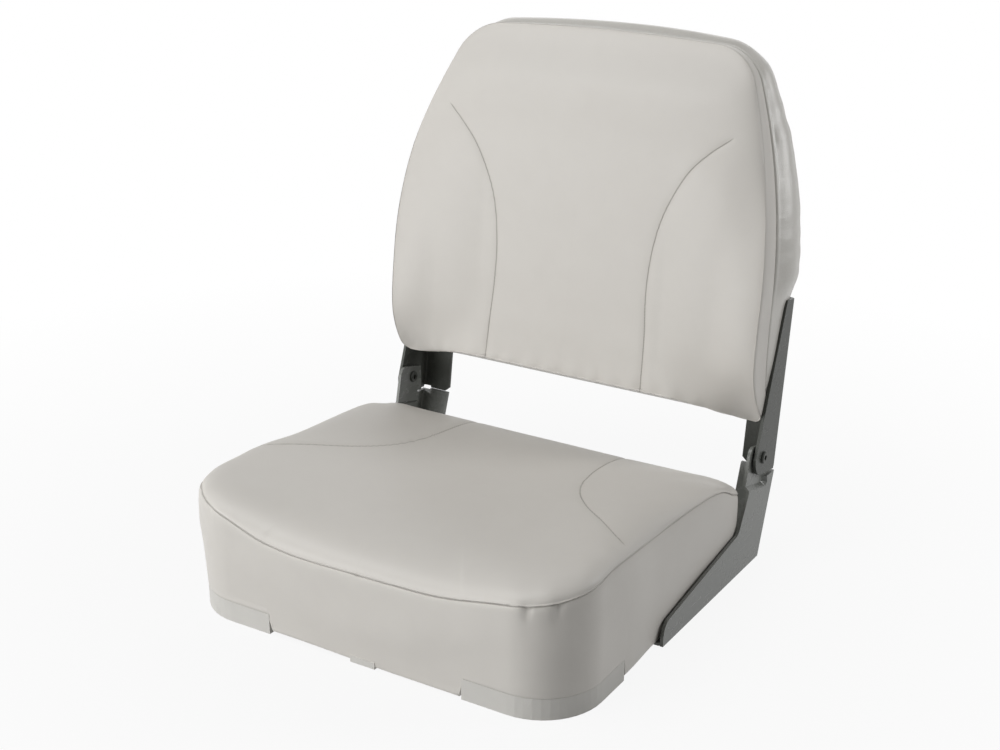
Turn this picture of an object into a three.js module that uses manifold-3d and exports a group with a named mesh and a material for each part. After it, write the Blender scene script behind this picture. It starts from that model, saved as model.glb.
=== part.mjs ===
// Folding boat seat: a padded seat on a ribbed moulded pan, and a padded backrest
// that folds forward on two pressed sheet-metal hinges. Millimetres, +Z up, front
// towards -Y. The origin is the centre of the pan's four threaded inserts, on the
// plane that the seat stands on.
import * as THREE from 'three';
import { mergeVertices } from 'three/addons/utils/BufferGeometryUtils.js';
import Module from 'manifold-3d';

const wasm = await Module();
wasm.setup();

// Clearances and counts shared by all pieces
const seatGap = 0.3;
const overrun = 4;
const jointLap = 0.4;
const roundSides = 16;
const screwSides = 12;
const filletSteps = 4;
const mergeReach = 1e-4;
const cornerRoomShare = 0.49;

// Overall width over the hinge brackets, sheet metal
const overallWidth = 414;
const sheet = 3;
const bendInside = 2;
const bendSteps = 3;
const outerX = overallWidth / 2;
const innerX = outerX - sheet;

// Lower bracket: side flange, foot flange and rear flange bent from one blank
const heelY = 200;
const footLength = 206;
const flangeWidth = 34;
const lowerLean = THREE.MathUtils.degToRad(20.1);
const splitHeight = 82.5;
const toeHeight = 21.5;
const toeSet = 1.5;
const toeRadius = 14;
const kneeSetback = 50;
const kneeDrop = 39;
const kneeRadius = 10;
const neckFrontSetback = 31;
const neckDrop = 6.5;
const neckRadius = 24;
const recessFrontDrop = 1.5;
const recessRearDrop = 12.5;
const recessRearY = 13.5;
const recessRadius = 4;
const recessRamp = 4;
const stripFrontY = 11.5;
const earFrontSetback = 20;
const earTopMargin = 16.3;
const earRearY = 15;
const earRearDrop = 8.5;
const earRadius = 8;
const bendReliefX = 10.5;
const lowerReliefDepth = 1.5;
const upperReliefDepth = 2;
const innerNotch = 6;
const innerNotchHeight = 4.5;

// Upper bracket, in the backrest's own leaning frame: v runs rearward, w upward
const upperLean = THREE.MathUtils.degToRad(8.7);
const splitStep = 1.5;
const upperLength = 169;
const upperTopWidth = 20.6;
const noseSteps = 6;
const pivotForward = 35;
const pivotRise = 17.6;

// Pivot rivet and its bush
const shankRadius = 3.5;
const rivetHeadRadius = 6;
const rivetHeadHeight = 2.2;
const rivetHollowRadius = 2.6;
const rivetHollowDepth = 4;
const bushWall = 1;
const bushFlange = 0.8;
const bushFlangeRadius = 9;

// Seat cushion: plan, seam height and crown
const seatDepth = 339;
const seatSetback = 34;
const frontCorner = 60;
const rearCorner = 14;
const frontSwell = 2.4;
const swellReach = 60;
const seamHeight = 105;
const seamInset = 6;
const hemHeight = 3.3;
const hemWidth = 24;
const coverWall = 2.5;
const seamDip = 1.2;
const seamLip = 1.6;
const boxingTaper = 4;
const crownRise = 7;
const crownFall = 9.5;
const wingRise = 30;
const channelRadius = 1.6;
const channelRise = 0.5;
const channelSides = 5;
const channelSteps = 18;

// Seam height and inset along half the outline, front centre to rear centre, as shares
const seamRunShares = [0, 0.09, 0.13, 0.2, 0.266, 0.32, 0.36, 0.41, 0.464, 0.51, 0.61, 0.66, 0.7, 0.74, 1];
const seamHeightShares = [
  0.834, 0.85, 0.881, 0.967, 1.02, 1.067, 1.09, 1.076, 1.029, 1.005, 0.99, 0.92, 0.83, 0.77, 0.76,
];
const seamInsetShares = [0.2, 0.2, 0.2, 0.25, 0.35, 0.5, 0.6, 0.7, 1, 1.1, 0.6, 0.3, 0.2, 0.3, 0.3];
const boxingShares = [0.8, 0.55, 0.25];
const boxingTaperShares = [0, 0.25, 0.62];
const crownRingShares = [0.32, 0.56, 0.75, 0.88, 0.955];
const wingSeatRunShares = [0.07, 0.165, 0.25, 0.34, 0.385, 0.43, 0.475, 0.52, 0.565, 0.605, 0.635];
const wingSeatSpreadShares = [0.412, 0.41, 0.424, 0.461, 0.489, 0.533, 0.58, 0.648, 0.712, 0.785, 0.87];

// Seat pan: an inverted tray with a rib grid, insert bosses and moulded feet
const panHeight = 35;
const panDeck = 3;
const panWall = 3.5;
const ribWall = 2.6;
const ribColumns = 9;
const ribRows = 8;
const insertSpacing = 127;
const insertRadius = 6.5;
const insertBore = 4;
const insertLength = 18;
const insertFlange = 1.2;
const insertFlangeRadius = 8.5;
const bossRadius = 12;
const hubRadius = 20;
const padWall = 8;
const footTop = 20;
const footFrontRun = 105;
const footSideRun = 100;
const footCornerSteps = 12;
const footInset = 2.4;
const footPadWidth = 16;
const footPadHeight = 6;
const tabWidth = 26;
const tabDepth = 22;

// Screws: three through each foot flange, three through each upper rear flange
const screwsPerFlange = 3;
const panScrewFirst = 68;
const panScrewEnd = 28;
const panScrewLength = 22;
const backScrewEdge = 21;
const backScrewFirst = 77;
const backScrewEnd = 20;
const backScrewLength = 19;
const screwRadius = 2.5;
const screwHeadRadius = 5.4;
const domeHeight = 3.2;
const domeShares = [[0, 1], [0.55, 0.86], [0.9, 0.45], [1, 0]];
const screwBossRadius = 6.4;

// Backrest, in its leaning frame
const backBottom = 51;
const backTop = 400;
const backHalfWidth = innerX - seatGap;
const backTaperStart = 168;
const backTaperShare = 0.00106;
const backBottomCorner = 30;
const backTopCorner = 46;
const backTopCrown = 4;
const backShoulderShare = 0.6;
const backThickness = 76;
const backRearRound = 9;
const backRearSwell = 8.2;
const backSwellReach = 32;
const backSwellFade = 110;
const backSwellTopShare = 0.4;
const backBoxingBulge = 2.4;
const backBulgeShare = 0.82;
const backGrooveShare = 0.62;
const backGrooveDip = 2.6;
const backGrooveLip = 5;
const backHeightShares = [0, 0.035, 0.075, 0.12, 0.2, 0.33, 0.47, 0.62, 0.78, 0.92, 1];
const backThicknessShares = [0.41, 0.56, 0.71, 0.83, 0.94, 1, 0.985, 0.91, 0.77, 0.62, 0.53];
const backFaceRunShares = [
  0, 0.05, 0.107, 0.165, 0.22, 0.28, 0.34, 0.45, 0.57, 0.68, 0.75, 0.8, 0.86, 0.92, 1,
];
const backFaceShares = [0.43, 0.6, 0.71, 0.8, 0.87, 0.91, 0.945, 0.97, 1, 1.01, 0.99, 0.95, 0.88, 0.75, 0.55];
const wingPuff = 7;
const wingStartShare = 0.5;
const wingTopShare = 0.78;
const wingBackRunShares = [0.035, 0.11, 0.22, 0.34, 0.4, 0.455, 0.51, 0.57, 0.63, 0.685, 0.745];
const wingBackSpreadShares = [0.425, 0.417, 0.414, 0.415, 0.425, 0.442, 0.471, 0.51, 0.56, 0.626, 0.716];
const shellDepth = 18;
const shellInset = 10;
const shellWall = 3;
const shellColumns = 9;
const shellRows = 8;

// Steps along the straights and corners of half an outline
const planSteps = { front: 5, frontCorner: 6, side: 7, rearCorner: 3, rear: 4 };
const backSteps = { bottom: 4, corner: 4, side: 3, taper: 6, shoulder: 5, top: 3 };

// Finishes
const vinyl = { color: '#dddad3', roughness: 0.5, metalness: 0 };
const grainedVinyl = { color: '#d9d7d1', roughness: 0.6, metalness: 0 };
const foam = { color: '#e6dab2', roughness: 0.95, metalness: 0 };
const mouldedPlastic = { color: '#d7d6d1', roughness: 0.55, metalness: 0 };
const paintedSteel = { color: '#63666a', roughness: 0.45, metalness: 0.6 };
const zinc = { color: '#b7babd', roughness: 0.35, metalness: 0.9 };
const nylon = { color: '#e8e7e1', roughness: 0.5, metalness: 0 };
const brass = { color: '#b08f57', roughness: 0.35, metalness: 0.9 };

// Places worked out from the sizes above
const lowerRear = (z) => heelY + z * Math.tan(lowerLean);
const splitY = lowerRear(splitHeight) + splitStep;
const leanY = (v, w) => splitY + v * Math.cos(upperLean) + w * Math.sin(upperLean);
const leanZ = (v, w) => splitHeight - v * Math.sin(upperLean) + w * Math.cos(upperLean);
const pivotY = leanY(-pivotForward, pivotRise);
const pivotZ = leanZ(-pivotForward, pivotRise);
const earTopHeight = pivotZ + earTopMargin;
const earRearTopHeight = earTopHeight - earRearDrop;
const kneeHeight = splitHeight - kneeDrop;
const neckHeight = splitHeight - neckDrop;
const recessFrontHeight = splitHeight - recessFrontDrop;
const recessRearHeight = splitHeight - recessRearDrop;
const panScrewX = outerX - flangeWidth / 2;
const panScrewPitch = (footLength - panScrewFirst - panScrewEnd) / (screwsPerFlange - 1);
const backScrewX = outerX - backScrewEdge;
const backScrewPitch = (upperLength - backScrewFirst - backScrewEnd) / (screwsPerFlange - 1);
const bushSpace = bushFlange + 2 * seatGap;
const earOuterX = innerX - bushSpace;
const earInnerX = earOuterX - sheet;
const seatRearY = heelY - seatSetback;
const seatFrontY = seatRearY - seatDepth;
const seatHalfWidth = innerX - seatGap;
const seatMidY = (seatRearY + seatFrontY) / 2;
const hemTop = hemHeight + coverWall;
const panBottom = hemTop + seatGap;
const tabTop = panBottom + jointLap;
const crownHeight = seamHeight + crownRise;
const trayInset = coverWall + seatGap + boxingTaper;
const footFrontStart = outerX - footFrontRun;
const ribPitchX = 2 * (seatHalfWidth - trayInset) / ribColumns;
const ribPitchY = (seatDepth - 2 * trayInset) / ribRows;
const shellPitchX = 2 * (backHalfWidth - shellInset) / shellColumns;
const shellPitchW = (backTop - backBottom - 2 * shellInset) / shellRows;
const foamBottom = panHeight + seatGap;
const backRearV = -sheet - seatGap;
const roundShare = 1 - Math.SQRT1_2;

// Swaps two corners of every triangle, which turns a mesh inside out
function turnOut(index) {
  for (let i = 0; i < index.length; i += 3) {
    [index[i], index[i + 1]] = [index[i + 1], index[i]];
  }
}

// Six times the volume inside a mesh, below zero when its faces point inward
function enclosed(position, index) {
  const corner = (i) => new THREE.Vector3().fromBufferAttribute(position, index[i]);
  let sum = 0;
  for (let i = 0; i < index.length; i += 3) sum += corner(i).dot(corner(i + 1).cross(corner(i + 2)));
  return sum;
}

// A closed mesh becomes a solid once only its positions are left and shared
function toSolid(geometry) {
  const bare = geometry.clone();
  bare.deleteAttribute('normal');
  bare.deleteAttribute('uv');
  const merged = mergeVertices(bare, mergeReach);
  const vertProperties = new Float32Array(merged.attributes.position.array);
  const triVerts = new Uint32Array(merged.index.array);
  if (enclosed(merged.attributes.position, triVerts) < 0) turnOut(triVerts);
  return new wasm.Manifold(new wasm.Mesh({ numProp: 3, vertProperties, triVerts }));
}

function toGeometry(solid) {
  const mesh = solid.getMesh();
  const geometry = new THREE.BufferGeometry();
  geometry.setAttribute('position', new THREE.BufferAttribute(new Float32Array(mesh.vertProperties), 3));
  geometry.setIndex(new THREE.BufferAttribute(new Uint32Array(mesh.triVerts), 1));
  geometry.computeVertexNormals();
  return geometry;
}

const join = (pieces) => pieces.reduce((whole, piece) => whole.add(piece));
const cut = (body, tools) => tools.reduce((whole, tool) => whole.subtract(tool), body);

function mirrored(geometry) {
  const copy = geometry.clone();
  copy.scale(-1, 1, 1);
  turnOut(copy.index.array);
  copy.computeVertexNormals();
  return copy;
}

// Outlines are lists of [a, b, radius]; a corner with a radius becomes an arc
function rounded(points, steps = filletSteps) {
  const out = [];
  points.forEach(([a, b, radius = 0], i) => {
    const here = new THREE.Vector2(a, b);
    if (!radius) {
      out.push(here);
      return;
    }
    const before = points[(i + points.length - 1) % points.length];
    const after = points[(i + 1) % points.length];
    const back = new THREE.Vector2(before[0], before[1]).sub(here);
    const ahead = new THREE.Vector2(after[0], after[1]).sub(here);
    const room = Math.min(back.length(), ahead.length()) * cornerRoomShare;
    back.normalize();
    ahead.normalize();
    const half = Math.acos(THREE.MathUtils.clamp(back.dot(ahead), -1, 1)) / 2;
    const reach = Math.min(radius / Math.tan(half), room);
    const bend = reach * Math.tan(half);
    const centre = back.clone().add(ahead).normalize().multiplyScalar(bend / Math.sin(half)).add(here);
    const start = back.multiplyScalar(reach).add(here).sub(centre);
    const end = ahead.multiplyScalar(reach).add(here).sub(centre);
    const turn = start.angleTo(end);
    const side = Math.sign(start.cross(end));
    for (let k = 0; k <= steps; k += 1) {
      const arm = start.clone().rotateAround(new THREE.Vector2(), side * turn * k / steps);
      out.push(arm.add(centre));
    }
  });
  return out;
}

// A plate with a Y-Z outline, from x to x + thickness
function sidePlate(outline, x, thickness, holes = []) {
  const shape = new THREE.Shape(outline);
  holes.forEach(([a, b, radius]) => {
    shape.holes.push(new THREE.Path().absarc(a, b, radius, 0, 2 * Math.PI, true));
  });
  const geometry = new THREE.ExtrudeGeometry(shape, {
    depth: thickness, bevelEnabled: false, curveSegments: roundSides,
  });
  const turn = new THREE.Matrix4().makeBasis(
    new THREE.Vector3(0, 1, 0),
    new THREE.Vector3(0, 0, 1),
    new THREE.Vector3(1, 0, 0),
  );
  return toSolid(geometry.applyMatrix4(turn).translate(x, 0, 0));
}

// A slab between two level copies of a plan that bulges everywhere
function prism(plan, z, height) {
  const middle = (seatFrontY + seatRearY) / 2;
  const rings = [levelRing(plan, z), levelRing(plan, z + height)];
  return toSolid(skinned(rings, new THREE.Vector3(0, middle, z), new THREE.Vector3(0, middle, z + height)));
}

function block(x0, x1, y0, y1, z0, z1) {
  const geometry = new THREE.BoxGeometry(x1 - x0, y1 - y0, z1 - z0);
  return toSolid(geometry.translate((x0 + x1) / 2, (y0 + y1) / 2, (z0 + z1) / 2));
}

// A turned piece: profile points [radius, height] about the Z axis
function turned(profile, sides = roundSides) {
  const points = profile.map(([radius, height]) => new THREE.Vector2(radius, height));
  return toSolid(new THREE.LatheGeometry(points, sides).rotateX(Math.PI / 2));
}

function moved(solid, x, y, z) {
  return toSolid(toGeometry(solid).translate(x, y, z));
}

// Skins a row of rings of equal count; a row may start and end at a single point
function skinned(rings, startPoint, endPoint) {
  const positions = [];
  const faces = [];
  const count = rings[0].length;
  rings.forEach((ring) => ring.forEach((p) => positions.push(p.x, p.y, p.z)));
  for (let r = 0; r + 1 < rings.length; r += 1) {
    for (let i = 0; i < count; i += 1) {
      const a = r * count + i;
      const b = r * count + (i + 1) % count;
      faces.push(a, b, b + count, a, b + count, a + count);
    }
  }
  [[startPoint, 0, true], [endPoint, (rings.length - 1) * count, false]].forEach(([point, first, start]) => {
    const pole = positions.length / 3;
    positions.push(point.x, point.y, point.z);
    for (let i = 0; i < count; i += 1) {
      const a = first + i;
      const b = first + (i + 1) % count;
      if (start) faces.push(pole, b, a);
      else faces.push(pole, a, b);
    }
  });
  const geometry = new THREE.BufferGeometry();
  geometry.setAttribute('position', new THREE.Float32BufferAttribute(positions, 3));
  geometry.setIndex(faces);
  return geometry;
}

// Smooth value between hand-chosen shares
function eased(runs, values, run) {
  const last = runs.length - 1;
  const at = THREE.MathUtils.clamp(run, runs[0], runs[last]);
  let i = 0;
  while (i < last - 1 && runs[i + 1] < at) i += 1;
  const slope = (k) => {
    const low = Math.max(k - 1, 0);
    const high = Math.min(k + 1, last);
    return (values[high] - values[low]) / (runs[high] - runs[low]);
  };
  const span = runs[i + 1] - runs[i];
  const t = (at - runs[i]) / span;
  const t2 = t * t;
  const t3 = t2 * t;
  const rise = (t3 - 2 * t2 + t) * slope(i) + (t3 - t2) * slope(i + 1);
  return values[i] * (2 * t3 - 3 * t2 + 1) + values[i + 1] * (3 * t2 - 2 * t3) + rise * span;
}

// Crown rounding: 0 at the seam, 1 well inside, with a steep start at the seam
const crownRounding = (share) => Math.sqrt(1 - share ** 6);

// A rounded rectangle as matching points, front centre to the right and round
function roundedPlan(halfWidth, front, rear, rf, rr, cornerSteps = planSteps.frontCorner) {
  const half = [];
  const straight = (x0, y0, x1, y1, steps) => {
    for (let k = 0; k < steps; k += 1) {
      half.push(new THREE.Vector2(x0 + (x1 - x0) * k / steps, y0 + (y1 - y0) * k / steps));
    }
  };
  const arc = (x, y, radius, from, steps) => {
    for (let k = 0; k < steps; k += 1) {
      const angle = from + Math.PI / 2 * k / steps;
      half.push(new THREE.Vector2(x + radius * Math.cos(angle), y + radius * Math.sin(angle)));
    }
  };
  straight(0, front, halfWidth - rf, front, planSteps.front);
  arc(halfWidth - rf, front + rf, rf, -Math.PI / 2, cornerSteps);
  straight(halfWidth, front + rf, halfWidth, rear - rr, planSteps.side);
  arc(halfWidth - rr, rear - rr, rr, 0, planSteps.rearCorner);
  straight(halfWidth - rr, rear, 0, rear, planSteps.rear);
  const left = half.slice(1).reverse().map((p) => new THREE.Vector2(-p.x, p.y));
  return [...half, new THREE.Vector2(0, rear), ...left];
}

// Seat plan, inset by a distance that may differ from point to point
function seatPlan(inset) {
  const rr = Math.max(rearCorner, coverWall);
  return insetBy(roundedPlan(seatHalfWidth, seatFrontY, seatRearY, frontCorner, rr), inset);
}

// Moves every point of an outline inward along its own normal
function insetBy(plan, inset) {
  const count = plan.length;
  return plan.map((p, i) => {
    const run = plan[(i + 1) % count].clone().sub(plan[(i + count - 1) % count]).normalize();
    const reach = Array.isArray(inset) ? inset[i] : inset;
    return new THREE.Vector2(p.x - run.y * reach, p.y + run.x * reach);
  });
}

// The cushion swells ahead of the brackets
function swollen(plan) {
  return plan.map((p) => {
    const ahead = THREE.MathUtils.smoothstep(heelY - footLength - p.y, 0, swellReach);
    return new THREE.Vector2(p.x + Math.sign(p.x) * frontSwell * ahead, p.y);
  });
}

// Share of the way round each half outline, from the front centre to the rear centre
function outlineRuns(plan) {
  const last = plan.length / 2;
  const lengths = [0];
  for (let i = 1; i <= last; i += 1) lengths.push(lengths[i - 1] + plan[i].distanceTo(plan[i - 1]));
  return plan.map((_, i) => lengths[i <= last ? i : plan.length - i] / lengths[last]);
}

const seatRuns = outlineRuns(seatPlan(0));
const seamHeights = seatRuns.map((run) => seamHeight * eased(seamRunShares, seamHeightShares, run));
const seamInsets = seatRuns.map((run) => seamInset * eased(seamRunShares, seamInsetShares, run));
const seamPlan = (extra) => swollen(seatPlan(seamInsets.map((inset) => inset + extra)));
const boxingPlan = (extra) => swollen(seatPlan(extra));

// Height of the crown well inside the seam: it falls to the rear and rises at the wings
function seatCrown(x, y) {
  const run = (y - seatFrontY) / seatDepth;
  const spread = Math.abs(x) / seatHalfWidth;
  const wing = wingRise * spread ** 3 * (1 - run ** 2);
  return crownHeight - crownFall * run ** 2 + wing;
}

// Rings over the crown at the shares given, set in and lowered from the outer face
function seatCrownRings(inset) {
  const outline = seamPlan(0);
  const plan = seamPlan(inset);
  return crownRingShares.map((share) => plan.map((p, i) => {
    const top = seatCrown(outline[i].x * share, seatMidY + (outline[i].y - seatMidY) * share);
    const rise = (top - seamHeights[i]) * crownRounding(share);
    return new THREE.Vector3(p.x * share, seatMidY + (p.y - seatMidY) * share, seamHeights[i] + rise - inset);
  }));
}

const ringAt = (plan, heights) => plan.map((p, i) => new THREE.Vector3(p.x, p.y, heights[i]));
const levelRing = (plan, z) => plan.map((p) => new THREE.Vector3(p.x, p.y, z));

// Outer face of the seat cover, crowned on top, seamed at its edge, closed under the hem
function seatSkin() {
  const boxing = (share) => seamHeights.map((z) => hemHeight + (z - hemHeight) * share);
  const rings = [
    ...seatCrownRings(0),
    ringAt(seamPlan(0), seamHeights.map((z) => z + seamLip)),
    ringAt(seamPlan(seamDip), seamHeights),
    ringAt(seamPlan(0), seamHeights.map((z) => z - seamLip)),
    ...boxingShares.map((share, i) => ringAt(boxingPlan(boxingTaper * boxingTaperShares[i]), boxing(share))),
    levelRing(boxingPlan(boxingTaper), hemHeight + coverWall / 2),
    levelRing(boxingPlan(boxingTaper + coverWall / 2), hemHeight),
  ];
  const top = new THREE.Vector3(0, seatMidY, seatCrown(0, seatMidY));
  return skinned(rings, top, new THREE.Vector3(0, seatMidY, hemHeight));
}

// The room inside the seat cover, open downward inside the hem
function seatCoverRoom() {
  const high = seamHeights.map((z) => hemHeight + (z - hemHeight) * boxingShares[0]);
  const rings = [
    ...seatCrownRings(coverWall),
    ringAt(seamPlan(coverWall + seamDip), seamHeights.map((z) => z - coverWall - seamLip)),
    ringAt(boxingPlan(coverWall), high),
    levelRing(boxingPlan(coverWall + boxingTaper), hemTop),
    levelRing(boxingPlan(hemWidth), hemTop),
    levelRing(boxingPlan(hemWidth), -overrun),
  ];
  const top = new THREE.Vector3(0, seatMidY, seatCrown(0, seatMidY) - coverWall);
  return toSolid(skinned(rings, top, new THREE.Vector3(0, seatMidY, -overrun)));
}

function seatFoamBlock() {
  const skinGap = coverWall + seatGap;
  const high = seamHeights.map((z) => hemHeight + (z - hemHeight) * boxingShares[0]);
  const rings = [
    ...seatCrownRings(skinGap),
    ringAt(seamPlan(skinGap + seamDip), seamHeights.map((z) => z - skinGap - seamLip)),
    ringAt(boxingPlan(skinGap + seatGap), high),
    levelRing(boxingPlan(skinGap + boxingTaper), foamBottom),
  ];
  const top = new THREE.Vector3(0, seatMidY, seatCrown(0, seatMidY) - skinGap);
  const bottom = new THREE.Vector3(0, seatMidY, foamBottom);
  return toSolid(skinned(rings, top, bottom));
}

// A round cutter that follows a row of points on a padded face
function channel(points) {
  const section = new THREE.Shape();
  for (let k = 0; k < channelSides; k += 1) {
    const angle = 2 * Math.PI * k / channelSides;
    const x = channelRadius * Math.cos(angle);
    const y = channelRadius * Math.sin(angle);
    if (k) section.lineTo(x, y);
    else section.moveTo(x, y);
  }
  const path = new THREE.CatmullRomCurve3(points);
  return toSolid(new THREE.ExtrudeGeometry(section, { steps: channelSteps, extrudePath: path }));
}

// Lays a flat curve onto a skin as seen along a direction, a little above it
function draped(skin, flat, lift, direction) {
  const target = new THREE.Mesh(skin, new THREE.MeshBasicMaterial({ side: THREE.DoubleSide }));
  const caster = new THREE.Raycaster();
  const rise = direction.clone().multiplyScalar(-channelRise);
  return new THREE.SplineCurve(flat).getPoints(channelSteps).map((p) => {
    caster.set(lift(p), direction);
    return caster.intersectObject(target)[0].point.clone().add(rise);
  });
}

function pairOfChannels(skin, flat, lift, direction) {
  const points = draped(skin, flat, lift, direction);
  return [channel(points), channel(points.map((p) => new THREE.Vector3(-p.x, p.y, p.z)))];
}

function seatWingChannels(skin) {
  const flat = wingSeatRunShares.map((run, i) => (
    new THREE.Vector2(seatHalfWidth * wingSeatSpreadShares[i], seatRearY - seatDepth * run)
  ));
  const above = (p) => new THREE.Vector3(p.x, p.y, 2 * crownHeight);
  return pairOfChannels(skin, flat, above, new THREE.Vector3(0, 0, -1));
}

const bothSides = (make) => [make(1), make(-1)];

// The room that a front corner foot takes out of the cover
function footRoom(side, gap) {
  const x0 = side * (footFrontStart - gap);
  const x1 = side * (outerX + overrun);
  const y1 = seatFrontY + footSideRun + gap;
  return block(Math.min(x0, x1), Math.max(x0, x1), seatFrontY - overrun, y1, -overrun, footTop + gap);
}

function tabRoom(gap, top) {
  const half = tabWidth / 2 + gap;
  return block(-half, half, seatFrontY - overrun, seatFrontY + tabDepth + gap, -overrun, top);
}

const panScrewPlaces = (side) => Array.from({ length: screwsPerFlange }, (_, i) => (
  { x: side * panScrewX, y: heelY - panScrewFirst - panScrewPitch * i }
));

// Places of a pattern centred on zero
function grid(columns, rows, pitchX, pitchY) {
  return Array.from({ length: columns * rows }, (_, k) => [
    (k % columns - (columns - 1) / 2) * pitchX,
    (Math.floor(k / columns) - (rows - 1) / 2) * pitchY,
  ]);
}

function column(x, y, radius, z0, z1, sides = roundSides) {
  const height = z1 - z0;
  return moved(turned([[0, 0], [radius, 0], [radius, height], [0, height]], sides), x, y, z0);
}

function seatCover() {
  const holes = bothSides(panScrewPlaces).flat().map(({ x, y }) => (
    column(x, y, screwRadius + coverWall, -overrun, hemTop + seatGap / 2, screwSides)
  ));
  const skin = seatSkin();
  return cut(toSolid(skin), [
    seatCoverRoom(),
    ...seatWingChannels(skin),
    ...bothSides((side) => footRoom(side, seatGap)),
    tabRoom(seatGap, tabTop + seatGap),
    ...holes,
  ]);
}

const insertHalf = insertSpacing / 2;
const insertCorners = [
  [insertHalf, insertHalf], [-insertHalf, insertHalf], [-insertHalf, -insertHalf], [insertHalf, -insertHalf],
];
const padTop = panHeight - panDeck / 2;

// The rooms between the ribs, inside the pan's rim and open downward
function panPockets() {
  const inside = prism(seatPlan(trayInset + panWall), panBottom - overrun,
    panHeight - panDeck - panBottom + overrun);
  const halfX = (ribPitchX - ribWall) / 2;
  const halfY = (ribPitchY - ribWall) / 2;
  const pockets = grid(ribColumns, ribRows, ribPitchX, ribPitchY).map(([x, y]) => (
    block(x - halfX, x + halfX, seatMidY + y - halfY, seatMidY + y + halfY, 0, panHeight - panDeck)
  ));
  return join(pockets).intersect(inside);
}

// Stiff frame between the insert bosses, with a cross bar and a hub in its middle
function padFrame() {
  const bar = padWall / 2;
  const sides = [-insertHalf, insertHalf].flatMap((at) => [
    block(-insertHalf, insertHalf, at - bar, at + bar, 0, padTop),
    block(at - bar, at + bar, -insertHalf, insertHalf, 0, padTop),
  ]);
  return [...sides, block(-insertHalf, insertHalf, -bar, bar, 0, padTop), column(0, 0, hubRadius, 0, padTop)];
}

// A foot at a front corner: a wall that carries the boxing's line down, on a flat pad
function cornerFoot(side) {
  const plan = roundedPlan(seatHalfWidth, seatFrontY, seatRearY, frontCorner, rearCorner, footCornerSteps);
  return prism(swollen(insetBy(plan, footInset)), 0, footTop)
    .subtract(prism(seatPlan(trayInset + panWall), footPadHeight, footTop))
    .subtract(prism(seatPlan(footPadWidth), -overrun, footPadHeight + 2 * overrun))
    .intersect(footRoom(side, 0));
}

// Moulded pan: rib grid, insert bosses joined by a pad frame, screw bosses and feet
function seatPan() {
  const tray = prism(seatPlan(trayInset), panBottom, panHeight - panBottom);
  const bosses = insertCorners.map(([x, y]) => column(x, y, bossRadius, 0, padTop));
  const screwBosses = bothSides(panScrewPlaces).flat().map(({ x, y }) => (
    column(x, y, screwBossRadius, panBottom, padTop, screwSides)
  ));
  const tab = tabRoom(0, tabTop).intersect(prism(seatPlan(footInset), 0, panHeight));
  const body = join([
    tray.subtract(panPockets()), ...bosses, ...padFrame(), ...screwBosses, ...bothSides(cornerFoot), tab,
  ]);
  const insertHoles = insertCorners.flatMap(([x, y]) => [
    column(x, y, insertRadius + seatGap, -overrun, insertLength + seatGap),
    column(x, y, insertFlangeRadius + seatGap, -overrun, insertFlange + seatGap),
  ]);
  const screwHoles = bothSides(panScrewPlaces).flat().map(({ x, y }) => (
    column(x, y, screwRadius + seatGap, -overrun, panScrewLength + seatGap, screwSides)
  ));
  return cut(body, [...insertHoles, ...screwHoles]);
}

// Threaded insert, seated flush in its boss, blind at the top
function insert() {
  return turned([
    [insertBore, 0], [insertFlangeRadius, 0], [insertFlangeRadius, insertFlange],
    [insertRadius, insertFlange], [insertRadius, insertLength], [insertBore, insertLength], [insertBore, 0],
  ]);
}

// Countersunk screw, head down, and domed screw, head outward
function countersunkScrew() {
  const neck = screwHeadRadius - screwRadius;
  return turned([
    [0, seatGap], [screwHeadRadius, seatGap], [screwRadius, seatGap + neck],
    [screwRadius, panScrewLength - screwRadius], [0, panScrewLength],
  ], screwSides);
}

function domedScrew() {
  const dome = domeShares.map(([out, up]) => [screwHeadRadius * out, domeHeight * up]);
  return turned([
    ...dome, [screwRadius, 0], [screwRadius, screwRadius - backScrewLength], [0, -backScrewLength],
  ].reverse(), screwSides);
}

// An angle section: a leg along X at the rear and a leg along the side, with a round bend,
// as points [x, depth] seen along the bend line, on the right-hand side
function angleSection(width, leg) {
  const radius = bendInside + sheet;
  const cx = outerX - radius;
  const arc = (r, from, to) => Array.from({ length: bendSteps + 1 }, (_, k) => {
    const angle = from + (to - from) * k / bendSteps;
    return new THREE.Vector2(cx + r * Math.cos(angle), radius - r * Math.sin(angle));
  });
  return [
    new THREE.Vector2(outerX - width, 0),
    ...arc(radius, Math.PI / 2, 0),
    new THREE.Vector2(outerX, leg),
    new THREE.Vector2(innerX, leg),
    ...arc(bendInside, 0, Math.PI / 2),
    new THREE.Vector2(outerX - width, sheet),
  ];
}

// The angle extruded up a bend line that leans back from [y, z]; depth runs forward
function leaningAngle(width, leg, length, y, z, lean) {
  const shape = new THREE.Shape(angleSection(width, leg));
  const geometry = new THREE.ExtrudeGeometry(shape, { depth: length, bevelEnabled: false });
  const turn = new THREE.Matrix4().makeBasis(
    new THREE.Vector3(1, 0, 0),
    new THREE.Vector3(0, -Math.cos(lean), Math.sin(lean)),
    new THREE.Vector3(0, Math.sin(lean), Math.cos(lean)),
  );
  return toSolid(geometry.applyMatrix4(turn).translate(0, y, z));
}

// The foot angle lies along Y, its flange at the bottom
function footAngle() {
  const shape = new THREE.Shape(angleSection(flangeWidth, toeHeight / 2));
  const geometry = new THREE.ExtrudeGeometry(shape, { depth: footLength, bevelEnabled: false });
  const turn = new THREE.Matrix4().makeBasis(
    new THREE.Vector3(1, 0, 0),
    new THREE.Vector3(0, 0, 1),
    new THREE.Vector3(0, 1, 0),
  );
  return toSolid(geometry.applyMatrix4(turn).translate(0, heelY - footLength, 0));
}

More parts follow.
